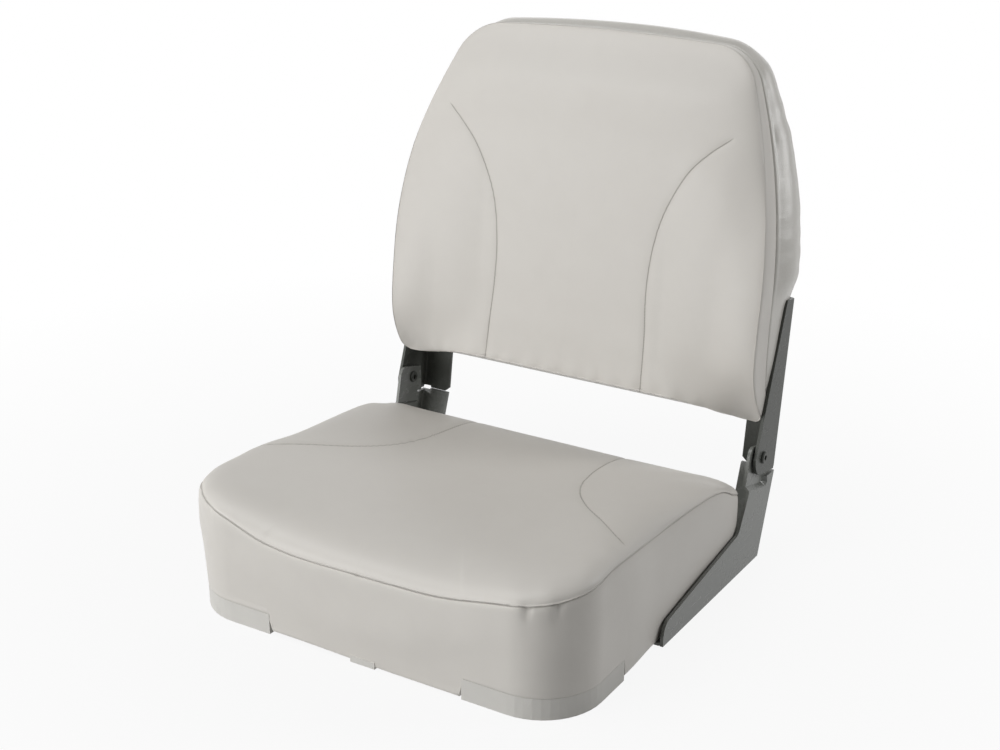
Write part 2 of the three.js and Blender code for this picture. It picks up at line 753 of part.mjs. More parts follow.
// Edge of the recess from front to top: [y, z] on the side plate and on the ear
function recessEdges() {
  const outerEdge = [
    [heelY - neckFrontSetback - recessRamp, recessFrontHeight + recessRamp / 4],
    [heelY + recessRearY - recessRadius, recessRearHeight + recessRadius / 4],
    [heelY + recessRearY, recessRearHeight + recessRadius],
    [heelY + stripFrontY, splitHeight + overrun],
  ];
  const innerEdge = [
    [heelY - neckFrontSetback - recessRamp, recessFrontHeight + recessRamp * 1.25],
    [heelY + recessRearY - recessRadius - recessRamp / 2, recessRearHeight + recessRadius / 4 + recessRamp],
    [heelY + recessRearY - recessRamp, recessRearHeight + recessRadius + recessRamp / 2],
    [heelY + stripFrontY - recessRamp, splitHeight + overrun],
  ];
  return { outerEdge, innerEdge };
}

// The pressed ramp between the side plate and the ear, one section at each corner
function recessRampWall() {
  const { outerEdge, innerEdge } = recessEdges();
  const sections = outerEdge.map(([ay, az], i) => {
    const [by, bz] = innerEdge[i];
    const reach = new THREE.Vector2(by - ay, bz - az).normalize().multiplyScalar(jointLap);
    return [
      [outerX, ay - reach.x, az - reach.y], [outerX, ay, az],
      [earOuterX, by, bz], [earOuterX, by + reach.x, bz + reach.y],
      [earInnerX, by + reach.x, bz + reach.y], [earInnerX, by, bz],
      [innerX, ay, az], [innerX, ay - reach.x, az - reach.y],
    ].map((p) => new THREE.Vector3(...p));
  });
  const middle = (ring) => ring.reduce((sum, p) => sum.add(p), new THREE.Vector3()).divideScalar(ring.length);
  const first = [sections[0][1], sections[0][2], sections[0][5], sections[0][6]];
  const lastRing = sections[sections.length - 1];
  const last = [lastRing[1], lastRing[2], lastRing[5], lastRing[6]];
  return toSolid(skinned(sections, middle(first), middle(last)));
}

// The front edge of the lower bracket's neck and ear, as corners of its outline
const neckEdge = [
  [heelY - kneeSetback, kneeHeight, kneeRadius],
  [heelY - neckFrontSetback, neckHeight, neckRadius],
  [heelY - earFrontSetback, earTopHeight, earRadius],
];

// Outline of the bracket's side, from the heel up over the ear and down to the toe
function lowerBlank() {
  return rounded([
    [heelY, 0],
    [lowerRear(splitHeight), splitHeight],
    [heelY + earRearY, splitHeight],
    [heelY + earRearY, earRearTopHeight],
    ...neckEdge.slice().reverse(),
    [heelY - footLength + toeSet, toeHeight, toeRadius],
    [heelY - footLength, 0],
  ]).reverse();
}

// Everything above an edge of the recess, as seen from the side
function aboveEdge(edge, rise) {
  return [
    ...edge,
    [heelY + earRearY + overrun, splitHeight + rise],
    [heelY + earRearY + overrun, earTopHeight + overrun],
    [heelY - kneeSetback, earTopHeight + overrun],
    [heelY - kneeSetback, edge[0][1]],
  ].map(([y, z]) => new THREE.Vector2(y, z));
}

// What comes off the bracket: all below the foot, the bend relief and the strip at the split
function lowerTrim() {
  const reliefBottom = splitHeight - seatGap / 2 - lowerReliefDepth;
  const stripBottom = splitHeight - lowerReliefDepth;
  const strip = [
    [heelY + stripFrontY - overrun, stripBottom],
    [heelY + 4 * flangeWidth, stripBottom],
    [heelY + 4 * flangeWidth, splitHeight + 2 * overrun],
    [heelY + stripFrontY - overrun, splitHeight + 2 * overrun],
  ].map(([y, z]) => new THREE.Vector2(y, z));
  return [
    block(0, outerX + overrun, 0, heelY + footLength, -footLength, 0),
    block(outerX - bendReliefX, outerX + overrun, heelY + earRearY, heelY + 3 * flangeWidth,
      reliefBottom, splitHeight + overrun),
    sidePlate(strip, innerX - jointLap, sheet + overrun),
  ];
}

// Screw holes through the foot flange, countersunk from below
function lowerHoles() {
  const head = screwHeadRadius + seatGap;
  const sink = turned([
    [0, -overrun], [head, -overrun], [head, 0], [head, seatGap],
    [screwRadius, seatGap + screwHeadRadius - screwRadius + seatGap], [0, seatGap + screwHeadRadius],
  ], screwSides);
  return panScrewPlaces(1).flatMap(({ x, y }) => [
    column(x, y, screwRadius + seatGap, -overrun, sheet + overrun, screwSides),
    moved(sink, x, y, 0),
  ]);
}

// The side plate stops at the recess, and a pressed ramp carries the ear inside of it
function lowerBracket() {
  const { outerEdge, innerEdge } = recessEdges();
  const blank = lowerBlank();
  const wide = overrun + bushSpace;
  const side = sidePlate(blank, innerX, sheet)
    .subtract(sidePlate(aboveEdge(outerEdge, overrun), innerX - wide, sheet + 2 * wide));
  const earPlate = sidePlate(blank, earInnerX, sheet)
    .intersect(sidePlate(aboveEdge(innerEdge, overrun / 2), earInnerX - wide, sheet + 2 * wide));
  const ramp = recessRampWall().intersect(sidePlate(blank, earInnerX - wide, sheet + bushSpace + 3 * wide));
  const length = splitHeight / Math.cos(lowerLean) + overrun;
  const rear = leaningAngle(flangeWidth, bendInside + sheet + jointLap, length, heelY, 0, lowerLean)
    .subtract(block(0, outerX + overrun, heelY, heelY + 3 * flangeWidth,
      splitHeight - seatGap / 2, earTopHeight));
  const pivotHole = sidePlate(circle(pivotY, pivotZ, shankRadius + seatGap), earInnerX - overrun, outerX);
  return cut(join([side, earPlate, ramp, rear, footAngle()]), [...lowerTrim(), ...lowerHoles(), pivotHole]);
}

function circle(a, b, radius) {
  return Array.from({ length: roundSides }, (_, k) => {
    const angle = 2 * Math.PI * k / roundSides;
    return new THREE.Vector2(a + radius * Math.cos(angle), b + radius * Math.sin(angle));
  });
}

const backScrewHeights = Array.from(
  { length: screwsPerFlange },
  (_, i) => backScrewFirst + backScrewPitch * i,
);

// Upper bracket in the leaning frame: a tapered side flange and a rear flange
function upperBracket() {
  const nose = Array.from({ length: noseSteps + 1 }, (_, k) => {
    const angle = -Math.PI / 2 - Math.PI / 2 * k / noseSteps;
    return [-pivotForward + pivotRise * Math.cos(angle), pivotRise + pivotRise * Math.sin(angle)];
  });
  const outline = [
    [-bendInside - sheet + jointLap, seatGap], ...nose.map(([v, w]) => [v, Math.max(w, seatGap)]),
    [-upperTopWidth, upperLength], [-bendInside - sheet + jointLap, upperLength],
  ].map(([v, w]) => new THREE.Vector2(v, w)).reverse();
  const side = sidePlate(outline, innerX, sheet);
  const rear = leaningAngle(flangeWidth, bendInside + sheet + jointLap, upperLength - seatGap, 0, seatGap, 0);
  const relief = block(outerX - bendReliefX, outerX + overrun, -bendInside - sheet, overrun, -overrun,
    seatGap + upperReliefDepth);
  const notchOutline = [
    [outerX - flangeWidth - overrun, -overrun],
    [outerX - flangeWidth + innerNotch + overrun, -overrun],
    [outerX - flangeWidth, innerNotchHeight],
    [outerX - flangeWidth - overrun, innerNotchHeight],
  ].map(([x, w]) => new THREE.Vector2(x, w));
  const notch = toSolid(new THREE.ExtrudeGeometry(new THREE.Shape(notchOutline), {
    depth: 2 * overrun, bevelEnabled: false,
  }).rotateX(Math.PI / 2).translate(0, overrun, 0));
  const holes = backScrewHeights.map((w) => toSolid(new THREE.CylinderGeometry(
    screwRadius + seatGap, screwRadius + seatGap, 2 * overrun, screwSides,
  ).translate(backScrewX, 0, w)));
  const bushOutline = circle(-pivotForward, pivotRise, shankRadius + bushWall + 2 * seatGap);
  const bushHole = sidePlate(bushOutline, innerX - overrun, sheet + 2 * overrun);
  return cut(side.add(rear), [relief, notch, ...holes, bushHole]);
}

// Pivot parts, turned about Z and then laid along X with the outer head outward
function pivotRivet() {
  const inner = earInnerX - seatGap - rivetHeadHeight;
  const outer = outerX + seatGap + rivetHeadHeight;
  const shoulderIn = rivetHeadHeight;
  const length = outer - inner;
  return turned([
    [0, rivetHollowDepth], [rivetHollowRadius, rivetHollowDepth], [rivetHollowRadius, 0],
    [rivetHeadRadius - shankRadius / 4, 0], [rivetHeadRadius, shoulderIn / 2], [rivetHeadRadius, shoulderIn],
    [shankRadius, shoulderIn], [shankRadius, length - rivetHeadHeight],
    [rivetHeadRadius, length - rivetHeadHeight], [rivetHeadRadius, length - rivetHeadHeight / 2],
    [rivetHeadRadius - shankRadius / 4, length], [rivetHollowRadius, length],
    [rivetHollowRadius, length - rivetHollowDepth / 2], [0, length - rivetHollowDepth / 2],
  ]);
}

function pivotBush() {
  const bore = shankRadius + seatGap;
  const wall = bore + bushWall - seatGap;
  return turned([
    [bore, 0], [bushFlangeRadius, 0], [bushFlangeRadius, bushFlange], [wall, bushFlange],
    [wall, bushFlange + seatGap + sheet], [bore, bushFlange + seatGap + sheet], [bore, 0],
  ]);
}

// Backrest outline in the leaning frame: half width falls off above the taper's start
function backOutline() {
  const edgeTop = backTop - backTopCrown;
  const taper = (w) => backHalfWidth - backTaperShare * Math.max(w - backTaperStart, 0) ** 2;
  const half = [];
  const straight = (a, b, steps) => {
    for (let k = 0; k < steps; k += 1) half.push(a.clone().lerp(b, k / steps));
  };
  const arc = (centre, radius, from, to, steps) => {
    for (let k = 0; k < steps; k += 1) {
      const angle = from + (to - from) * k / steps;
      half.push(new THREE.Vector2(Math.cos(angle), Math.sin(angle)).multiplyScalar(radius).add(centre));
    }
  };
  const low = new THREE.Vector2(backHalfWidth - backBottomCorner, backBottom + backBottomCorner);
  straight(new THREE.Vector2(0, backBottom), new THREE.Vector2(low.x, backBottom), backSteps.bottom);
  arc(low, backBottomCorner, -Math.PI / 2, 0, backSteps.corner);
  const sideLow = new THREE.Vector2(backHalfWidth, low.y);
  straight(sideLow, new THREE.Vector2(backHalfWidth, backTaperStart), backSteps.side);
  const shoulder = edgeTop - backTopCorner * backShoulderShare;
  for (let k = 0; k < backSteps.taper; k += 1) {
    const w = backTaperStart + (shoulder - backTaperStart) * k / backSteps.taper;
    half.push(new THREE.Vector2(taper(w), w));
  }
  const lean = Math.atan(2 * backTaperShare * (shoulder - backTaperStart));
  const high = new THREE.Vector2(
    taper(shoulder) - backTopCorner * Math.cos(lean),
    shoulder - backTopCorner * Math.sin(lean),
  );
  arc(high, backTopCorner, lean, Math.PI / 2, backSteps.shoulder);
  straight(new THREE.Vector2(high.x, high.y + backTopCorner), new THREE.Vector2(0, backTop), backSteps.top);
  return [...half, new THREE.Vector2(0, backTop)];
}

// Padding swells past the outline above the brackets, and less towards the top
function swelledPlan(inset, swell) {
  return backPlan(backPlan(0).map((p) => {
    const start = THREE.MathUtils.smoothstep(p.y - upperLength, 0, backSwellReach);
    const end = THREE.MathUtils.smoothstep(p.y, backTop - backSwellFade, backTop);
    return inset - swell * start * (1 - (1 - backSwellTopShare) * end);
  }));
}

const rearPlan = (inset) => swelledPlan(inset, backRearSwell);

function backPlan(inset) {
  const right = backOutline();
  const left = right.slice(1, -1).reverse().map((p) => new THREE.Vector2(-p.x, p.y));
  return insetBy([...right, ...left], inset);
}

const backMidW = (backBottom + backTop) / 2;
const backRun = (w) => (w - backBottom) / (backTop - backBottom);
const thicknessAt = (w) => backThickness * eased(backHeightShares, backThicknessShares, backRun(w));
const faceAt = (w) => backThickness * eased(backFaceRunShares, backFaceShares, backRun(w));

// The wings puff up between their seam and the edge, and die out towards the top
function puffAt(x, w) {
  const across = (Math.abs(x) / backHalfWidth - wingStartShare) / (1 - wingStartShare);
  const up = backRun(w) / wingTopShare;
  if (across <= 0 || up >= 1) return 0;
  return wingPuff * Math.sin(Math.PI * across) * Math.sin(Math.PI * up);
}

// A ring of the backrest at a share of its thickness, less a drop below the face
const backEdges = backPlan(0).map((p) => thicknessAt(p.y));
const backRing = (plan, share, drop = 0) => plan.map((p, i) => (
  new THREE.Vector3(p.x, backRearV - backEdges[i] * share + drop, p.y)
));
const depthRing = (plan, depth) => plan.map((p) => new THREE.Vector3(p.x, backRearV - depth, p.y));

function backCrownRings(inset) {
  const outline = backPlan(0);
  const plan = backPlan(inset);
  return crownRingShares.map((share) => plan.map((p, i) => {
    const w = backMidW + (outline[i].y - backMidW) * share;
    const face = faceAt(w) + puffAt(outline[i].x * share, w);
    const depth = backEdges[i] + (face - backEdges[i]) * crownRounding(share) - inset;
    return new THREE.Vector3(p.x * share, backRearV - depth, backMidW + (p.y - backMidW) * share);
  }));
}

const backFacePoint = (drop) => new THREE.Vector3(0, backRearV - faceAt(backMidW) + drop, backMidW);

// The front cover's face, seamed edge and boxing, back to the groove
function backFrontCover() {
  const groove = seatGap;
  const behind = new THREE.Vector3(0, backRearV - thicknessAt(backMidW) * backGrooveShare, backMidW);
  const skin = skinned([
    ...backCrownRings(0),
    backRing(backPlan(seamLip / 2), 1, -seamLip / 2),
    backRing(backPlan(seamDip), 1, seamLip / 2),
    backRing(backPlan(0), 1, 2 * seamLip),
    backRing(swelledPlan(0, backBoxingBulge), backBulgeShare),
    backRing(backPlan(0), backGrooveShare, -backGrooveLip),
    backRing(backPlan(backGrooveDip), backGrooveShare, -groove),
    backRing(backPlan(backGrooveDip + 2 * coverWall), backGrooveShare, -groove),
  ], backFacePoint(0), behind);
  const room = skinned([
    ...backCrownRings(coverWall),
    backRing(backPlan(coverWall + seamDip), 1, 2 * seamLip + coverWall),
    backRing(backPlan(backGrooveDip + coverWall), backGrooveShare, 0),
    backRing(backPlan(backGrooveDip + coverWall), backGrooveShare, overrun),
  ], backFacePoint(coverWall), behind.clone().add(new THREE.Vector3(0, overrun, 0)));
  return cut(toSolid(skin), [toSolid(room), ...backWingChannels(skin)]);
}

function backWingChannels(skin) {
  const flat = wingBackRunShares.map((run, i) => (
    new THREE.Vector2(backHalfWidth * wingBackSpreadShares[i], backBottom + (backTop - backBottom) * run)
  ));
  const ahead = (p) => new THREE.Vector3(p.x, -3 * backThickness, p.y);
  return pairOfChannels(skin, flat, ahead, new THREE.Vector3(0, 1, 0));
}

// The rear wrap, from the groove round to the flat back
function backRearCover() {
  const groove = seatGap;
  const ahead = new THREE.Vector3(0, backRearV - thicknessAt(backMidW) * backGrooveShare, backMidW);
  const skin = skinned([
    backRing(backPlan(backGrooveDip + 2 * coverWall), backGrooveShare, groove),
    backRing(backPlan(backGrooveDip), backGrooveShare, groove),
    backRing(rearPlan(0), backGrooveShare, backGrooveLip),
    depthRing(rearPlan(0), backRearRound),
    depthRing(rearPlan(backRearRound * roundShare), backRearRound * roundShare),
    depthRing(rearPlan(backRearRound), 0),
  ], ahead, new THREE.Vector3(0, backRearV, backMidW));
  const behind = new THREE.Vector3(0, backRearV - coverWall, backMidW);
  const room = skinned([
    backRing(backPlan(backGrooveDip + coverWall), backGrooveShare, -overrun),
    backRing(backPlan(backGrooveDip + coverWall), backGrooveShare, 0),
    depthRing(rearPlan(coverWall), backRearRound),
    depthRing(rearPlan(backRearRound), coverWall),
  ], ahead.clone().sub(new THREE.Vector3(0, overrun, 0)), behind);
  return cut(toSolid(skin), [toSolid(room), ...backScrewCutters(screwRadius + seatGap)]);
}

function backScrewCutters(radius) {
  return bothSides((side) => backScrewHeights.map((w) => toSolid(new THREE.CylinderGeometry(
    radius, radius, 2 * backScrewLength, screwSides,
  ).translate(side * backScrewX, -sheet, w)))).flat();
}

// A prism of the backrest's outline between two depths in front of its rear face
function backPrism(inset, depth0, depth1) {
  const plan = backPlan(inset);
  const middle = (depth) => new THREE.Vector3(0, backRearV - depth, backMidW);
  return toSolid(skinned([depthRing(plan, depth0), depthRing(plan, depth1)], middle(depth0), middle(depth1)));
}

// Moulded back shell: a rimmed panel with a rib grid open to the front, and screw bosses
function backShell() {
  const rear = coverWall + seatGap;
  const front = rear + shellDepth;
  const body = backPrism(shellInset, rear, front);
  const inside = backPrism(shellInset + shellWall, rear + shellWall, front + overrun);
  const halfX = (shellPitchX - ribWall) / 2;
  const halfW = (shellPitchW - ribWall) / 2;
  const pockets = grid(shellColumns, shellRows, shellPitchX, shellPitchW).map(([x, up]) => {
    const w = backMidW + up;
    return block(x - halfX, x + halfX, backRearV - backThickness, backRearV, w - halfW, w + halfW);
  });
  const bosses = bothSides((side) => backScrewHeights.map((w) => toSolid(new THREE.CylinderGeometry(
    screwBossRadius, screwBossRadius, shellDepth, screwSides,
  ).translate(side * backScrewX, backRearV - rear - shellDepth / 2, w)))).flat();
  const hollow = join(pockets).intersect(inside);
  return cut(join([body.subtract(hollow), ...bosses]), backScrewCutters(screwRadius + seatGap));
}

function backFoam() {
  const skinGap = coverWall + seatGap;
  const rear = skinGap + shellDepth + seatGap;
  const rings = [
    ...backCrownRings(skinGap),
    backRing(backPlan(skinGap + seamDip), 1, 2 * seamLip + skinGap),
    backRing(backPlan(backGrooveDip + skinGap), backGrooveShare, -backGrooveLip),
    depthRing(backPlan(shellInset), rear),
  ];
  const behind = new THREE.Vector3(0, backRearV - rear, backMidW);
  return toSolid(skinned(rings, backFacePoint(skinGap), behind));
}

// The scene graph
function piece(name, geometry, finish) {
  const mesh = new THREE.Mesh(geometry, new THREE.MeshStandardMaterial(finish));
  mesh.name = name;
  return mesh;
}

const seat = new THREE.Group();
const backrest = new THREE.Group();
backrest.position.set(0, splitY, splitHeight);
backrest.rotation.x = -upperLean;

seat.add(piece('seat_pan', toGeometry(seatPan()), mouldedPlastic));
seat.add(piece('seat_foam', toGeometry(seatFoamBlock()), foam));
seat.add(piece('seat_cover', toGeometry(seatCover()), vinyl));

const insertGeometry = toGeometry(insert());
const insertPlaces = {
  front_left: [-insertHalf, -insertHalf],
  front_right: [insertHalf, -insertHalf],
  rear_left: [-insertHalf, insertHalf],
  rear_right: [insertHalf, insertHalf],
};
Object.entries(insertPlaces).forEach(([place, [x, y]]) => {
  const mesh = piece(`pan_insert_${place}`, insertGeometry, brass);
  mesh.position.set(x, y, 0);
  seat.add(mesh);
});

const lowerGeometry = toGeometry(lowerBracket());
const upperGeometry = toGeometry(upperBracket());
const panScrewGeometry = toGeometry(countersunkScrew());
const backScrewGeometry = toGeometry(domedScrew());
const rivetGeometry = toGeometry(pivotRivet());
const bushGeometry = toGeometry(pivotBush());
const rivetReach = earInnerX - seatGap - rivetHeadHeight;
const bushReach = earOuterX + seatGap;

bothSides((side) => {
  const hand = side > 0 ? 'right' : 'left';
  const handed = (geometry) => (side > 0 ? geometry : mirrored(geometry));
  seat.add(piece(`lower_bracket_${hand}`, handed(lowerGeometry), paintedSteel));
  backrest.add(piece(`upper_bracket_${hand}`, handed(upperGeometry), paintedSteel));
  const rivet = piece(`pivot_rivet_${hand}`, rivetGeometry, zinc);
  rivet.position.set(side * rivetReach, pivotY, pivotZ);
  rivet.rotation.y = side * Math.PI / 2;
  seat.add(rivet);
  const bush = piece(`pivot_bush_${hand}`, bushGeometry, nylon);
  bush.position.set(side * bushReach, pivotY, pivotZ);
  bush.rotation.y = side * Math.PI / 2;
  seat.add(bush);
  panScrewPlaces(side).forEach(({ x, y }, i) => {
    const screw = piece(`pan_screw_${hand}_${i + 1}`, panScrewGeometry, zinc);
    screw.position.set(x, y, 0);
    seat.add(screw);
  });
  backScrewHeights.forEach((w, i) => {
    const screw = piece(`back_screw_${hand}_${i + 1}`, backScrewGeometry, zinc);
    screw.position.set(side * backScrewX, seatGap, w);
    screw.rotation.x = -Math.PI / 2;
    backrest.add(screw);
  });
});

backrest.add(piece('backrest_shell', toGeometry(backShell()), mouldedPlastic));
backrest.add(piece('backrest_foam', toGeometry(backFoam()), foam));
backrest.add(piece('backrest_front_cover', toGeometry(backFrontCover()), vinyl));
backrest.add(piece('backrest_rear_cover', toGeometry(backRearCover()), grainedVinyl));

const foldingSeat = new THREE.Group();
foldingSeat.add(seat, backrest);

export default foldingSeat;
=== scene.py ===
"""Folding boat seat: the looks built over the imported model. Lengths below are millimetres until a mesh is made."""

import math

import bpy
import numpy as np
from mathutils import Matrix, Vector


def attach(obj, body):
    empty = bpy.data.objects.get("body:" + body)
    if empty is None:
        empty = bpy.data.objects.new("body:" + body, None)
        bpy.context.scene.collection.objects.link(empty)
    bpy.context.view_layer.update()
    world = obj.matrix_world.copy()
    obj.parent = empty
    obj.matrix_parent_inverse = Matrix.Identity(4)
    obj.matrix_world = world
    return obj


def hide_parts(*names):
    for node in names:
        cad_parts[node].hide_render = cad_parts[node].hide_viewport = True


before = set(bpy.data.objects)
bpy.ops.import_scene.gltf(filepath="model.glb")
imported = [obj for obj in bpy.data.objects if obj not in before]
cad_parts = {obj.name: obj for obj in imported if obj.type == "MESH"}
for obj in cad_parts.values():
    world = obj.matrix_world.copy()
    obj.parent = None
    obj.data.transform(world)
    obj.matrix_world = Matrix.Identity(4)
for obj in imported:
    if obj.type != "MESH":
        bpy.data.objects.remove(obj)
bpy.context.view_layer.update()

MM = 0.001

# Rings of the soft forms and the seams on them: points round a ring, the step between two of them, and the
# straight tail and the break in the run that tell one seam from the next
RING_POINTS = 560
RING_STEP = 2.55
SEAM_TAIL = 70.0
SEAM_BREAK = 50.0
CROWN_EDGE_ROWS = 12

# Simulated padding: how far the cloth may lift a cover, its share beside a seam, and the rounds of evening
LIFT_CAP = 1.5
LIFT_REACH = 22.0
LIFT_ROUNDS = 160

# Seat cushion: outline, seam and crown
HEEL_Y = 200.0
FOOT_LENGTH = 206.0
SEAT_HALF = 203.7
SEAT_REAR = 166.0
SEAT_DEPTH = 339.0
SEAT_FRONT = SEAT_REAR - SEAT_DEPTH
SEAT_MID = (SEAT_REAR + SEAT_FRONT) / 2
FRONT_CORNER = 60.0
REAR_CORNER = 14.0
SEAT_SWELL = 2.4
SWELL_REACH = 60.0
SEAM_HEIGHT = 105.0
SEAM_INSET = 6.0
HEM_HEIGHT = 3.3
HEM_WIDTH = 24.0
HEM_SAG = 1.9
COVER_WALL = 2.5
BOXING_TAPER = 3.1
TAPER_TOP = 80.0
CROWN_HEIGHT = 112.0
CROWN_FALL = 9.5
WING_RISE = 30.0
WING_DIP = (3.5, -108.0, 34.0)
WING_FULL = (5.5, 5.0, 55.0)
DECK_HEIGHT = 35.3
FOOT_TOP = 20.1
FOOT_FRONT_START = 101.7
FOOT_SIDE_RUN = 100.3
FOOT_SNAP = 2.4
SEAT_CROWN_ROWS = 44
SEAT_BOXING_ROWS = 35
SEAM_ROLL = [(0.0, 1.5), (0.05, 0.8), (0.3, 0.3), (0.6, 0), (0.45, -0.3), (0.15, -0.8), (0.0, -1.6)]
SEAM_RUN_SHARES = [0, 0.09, 0.13, 0.2, 0.266, 0.32, 0.36, 0.41, 0.464, 0.51, 0.61, 0.66, 0.7, 0.74, 1]
SEAM_HEIGHT_SHARES = [0.834, 0.85, 0.881, 0.967, 1.02, 1.067, 1.09, 1.073, 1.02, 1.0, 0.985, 0.935, 0.8, 0.745, 0.75]
LEFT_RUN_SHARES = [0, 0.09, 0.146, 0.178, 0.2, 0.232, 0.252, 0.28, 0.31, 0.36]
LEFT_SEAM_SHARES = [0.834, 0.828, 0.87, 0.937, 0.99, 1.05, 1.088, 1.092, 1.085, 1.09]
SEAM_INSET_SHARES = [0.2, 0.2, 0.2, 0.25, 0.35, 0.5, 0.6, 0.7, 1, 1.1, 0.6, 0.3, 0.2, 0.3, 0.3]
GATHERS = [(164.0, -168.0), (185.5, -155.5)]
GATHER_DEPTH = 2.6
TUCK_DEPTH = 0.9
LEFT_GATHER_SHARE = 0.35
LEFT_FULLNESS = 3.2
LEFT_FULL_PLACE = (-194.0, -145.0, 96.0)
LEFT_FULL_REACH = (34.0, 40.0, 26.0)
WING_SEAT_RUN_SHARES = [0.0, 0.065, 0.17, 0.26, 0.345, 0.411, 0.464, 0.516, 0.566, 0.62, 0.652, 0.672]
WING_SEAT_SPREAD_SHARES = [0.42, 0.418, 0.42, 0.43, 0.457, 0.506, 0.571, 0.653, 0.745, 0.839, 0.9, 0.955]

# Backrest, in its leaning frame: v runs rearward, w upward
UPPER_LEAN = math.radians(8.7)
SPLIT_HEIGHT = 82.5
SPLIT_Y = HEEL_Y + SPLIT_HEIGHT * math.tan(math.radians(20.1)) + 1.5
BACK_REAR_V = -3.3
BACK_BOTTOM = 51.0
BACK_TOP = 400.0
BACK_HALF = 203.7
BACK_TAPER_START = 168.0
BACK_TAPER_SHARE = 0.00106
BACK_BOTTOM_CORNER = 10.0
BACK_TOP_CORNER = 46.0
BACK_TOP_DROP = 4.0
BACK_TOP_CROWN = 6.0
TOP_ARCH_HALF = 150.0
REAR_TOP_CROWN = 3.5
BACK_THICKNESS = 76.0
BACK_MID = (BACK_BOTTOM + BACK_TOP) / 2
BACK_REAR_ROUND = 9.0
BACK_REAR_SWELL = 8.2
BACK_SWELL_START = 161.0
BACK_SWELL_REACH = 40.0
BACK_SWELL_FADE = 110.0
BACK_SWELL_TOP_SHARE = 0.4
BACK_BOXING_BULGE = 1.0
GROOVE_SHARE = 0.62
GROOVE_DIP = 1.8
GROOVE_LIP = 3.0
WRAP_LIP = 2.5
WRAP_START_SHARE = 0.15
WRAP_BULGE = 0.9
BACK_CROWN_ROWS = 46
BACK_SEAM_ROLL = [(0.1, -0.7), (0.0, -0.1), (0.15, 0.4), (0.6, 0.8), (1.2, 1.1), (1.0, 1.5), (0.5, 2.2), (0.1, 3.2)]
BEHIND_INSET = 9.0
BEHIND_GAP = 0.3
SIDE_RUN_SHARES = [
    0, 0.014, 0.0315, 0.0487, 0.066, 0.083, 0.106, 0.129, 0.155, 0.198, 0.284, 0.37, 0.47, 0.62, 0.78, 0.92, 1
]
SIDE_SHARES = [0.44, 0.52, 0.61, 0.69, 0.76, 0.82, 0.885, 0.935, 0.97, 1, 1.015, 1.01, 0.985, 0.91, 0.77, 0.62, 0.53]
LEFT_CORNER_SHARE = 0.72
FOOT_SEAM_RISE = 14.0
FOOT_SEAM_SHARE = 0.88
FOOT_MIDDLE_HALF = 110.0
FOOT_MIDDLE_FADE = 85.0
BACK_HEIGHT_SHARES = [0, 0.035, 0.075, 0.12, 0.2, 0.33, 0.47, 0.62, 0.78, 0.92, 1]
BACK_THICKNESS_SHARES = [0.41, 0.56, 0.71, 0.83, 0.94, 1, 0.985, 0.91, 0.77, 0.62, 0.53]
BACK_FACE_RUN_SHARES = [0, 0.05, 0.107, 0.165, 0.22, 0.28, 0.34, 0.45, 0.57, 0.68, 0.75, 0.8, 0.86, 0.92, 1]
BACK_FACE_SHARES = [0.88, 0.885, 0.895, 0.91, 0.92, 0.935, 0.95, 0.975, 1, 1.01, 0.99, 0.95, 0.88, 0.75, 0.55]
WING_PUFF = 4.0
WING_START_SHARE = 0.5
WING_TOP_SHARE = 0.78
WING_BACK_RUN_SHARES = [0.0, 0.035, 0.085, 0.19, 0.28, 0.36, 0.434, 0.514, 0.586, 0.662, 0.718, 0.76]
WING_BACK_RIGHT_SHARES = [0.425, 0.424, 0.426, 0.426, 0.418, 0.419, 0.431, 0.46, 0.508, 0.582, 0.672, 0.76]
WING_BACK_SPREAD_SHARES = [0.45, 0.446, 0.44, 0.426, 0.413, 0.409, 0.417, 0.441, 0.488, 0.562, 0.655, 0.745]


# Studio, in metres and degrees: the point that the lamps face, and the camera fitted to the photo. Its focal length
# is a share of the width of the picture
LAMP_AIM = (0, 0.05, 0.2)
CAMERA_PLACE = (0.757693, -1.167249, 0.752572)
CAMERA_AZIMUTH = 31.786
CAMERA_ELEVATION = 21.188
FOCAL_SHARE = 1.658933
SENSOR_WIDTH = 36


# Curves and fields


def eased(runs, values, at):
    """Cubic through (run, value) pairs: Hermite spans, with each pair's slope that of its two neighbours' line."""
    runs, values = np.array(runs, float), np.array(values, float)
    at = np.clip(at, runs[0], runs[-1])
    slopes = np.empty_like(values)
    slopes[1:-1] = (values[2:] - values[:-2]) / (runs[2:] - runs[:-2])
    slopes[0] = (values[1] - values[0]) / (runs[1] - runs[0])
    slopes[-1] = (values[-1] - values[-2]) / (runs[-1] - runs[-2])
    i = np.clip(np.searchsorted(runs, at, "right") - 1, 0, len(runs) - 2)
    span = runs[i + 1] - runs[i]
    t = (at - runs[i]) / span
    rise = (t**3 - 2 * t**2 + t) * slopes[i] + (t**3 - t**2) * slopes[i + 1]
    return values[i] * (2 * t**3 - 3 * t**2 + 1) + values[i + 1] * (3 * t**2 - 2 * t**3) + rise * span


def smooth(x):
    """0 below 0, 1 above 1, and 3x^2 - 2x^3 between."""
    x = np.clip(x, 0, 1)
    return x * x * (3 - 2 * x)


def crown_rounding(share):
    """Square root of 1 - share^6: full well inside the seam, falling steeply to 0 at it."""
    return np.sqrt(np.clip(1 - share**6, 0, 1))


def crown_shares(flat, steep, edge=0.07):
    """Shares of the way from the middle to the seam: even steps, then steps that shrink towards 1."""
    inner = np.linspace(0, 1 - edge, flat + 1)[1:]
    outer = 1 - edge * (1 - np.linspace(0, 1, steep + 1)[1:-1]) ** 2
    return np.concatenate([inner, outer])


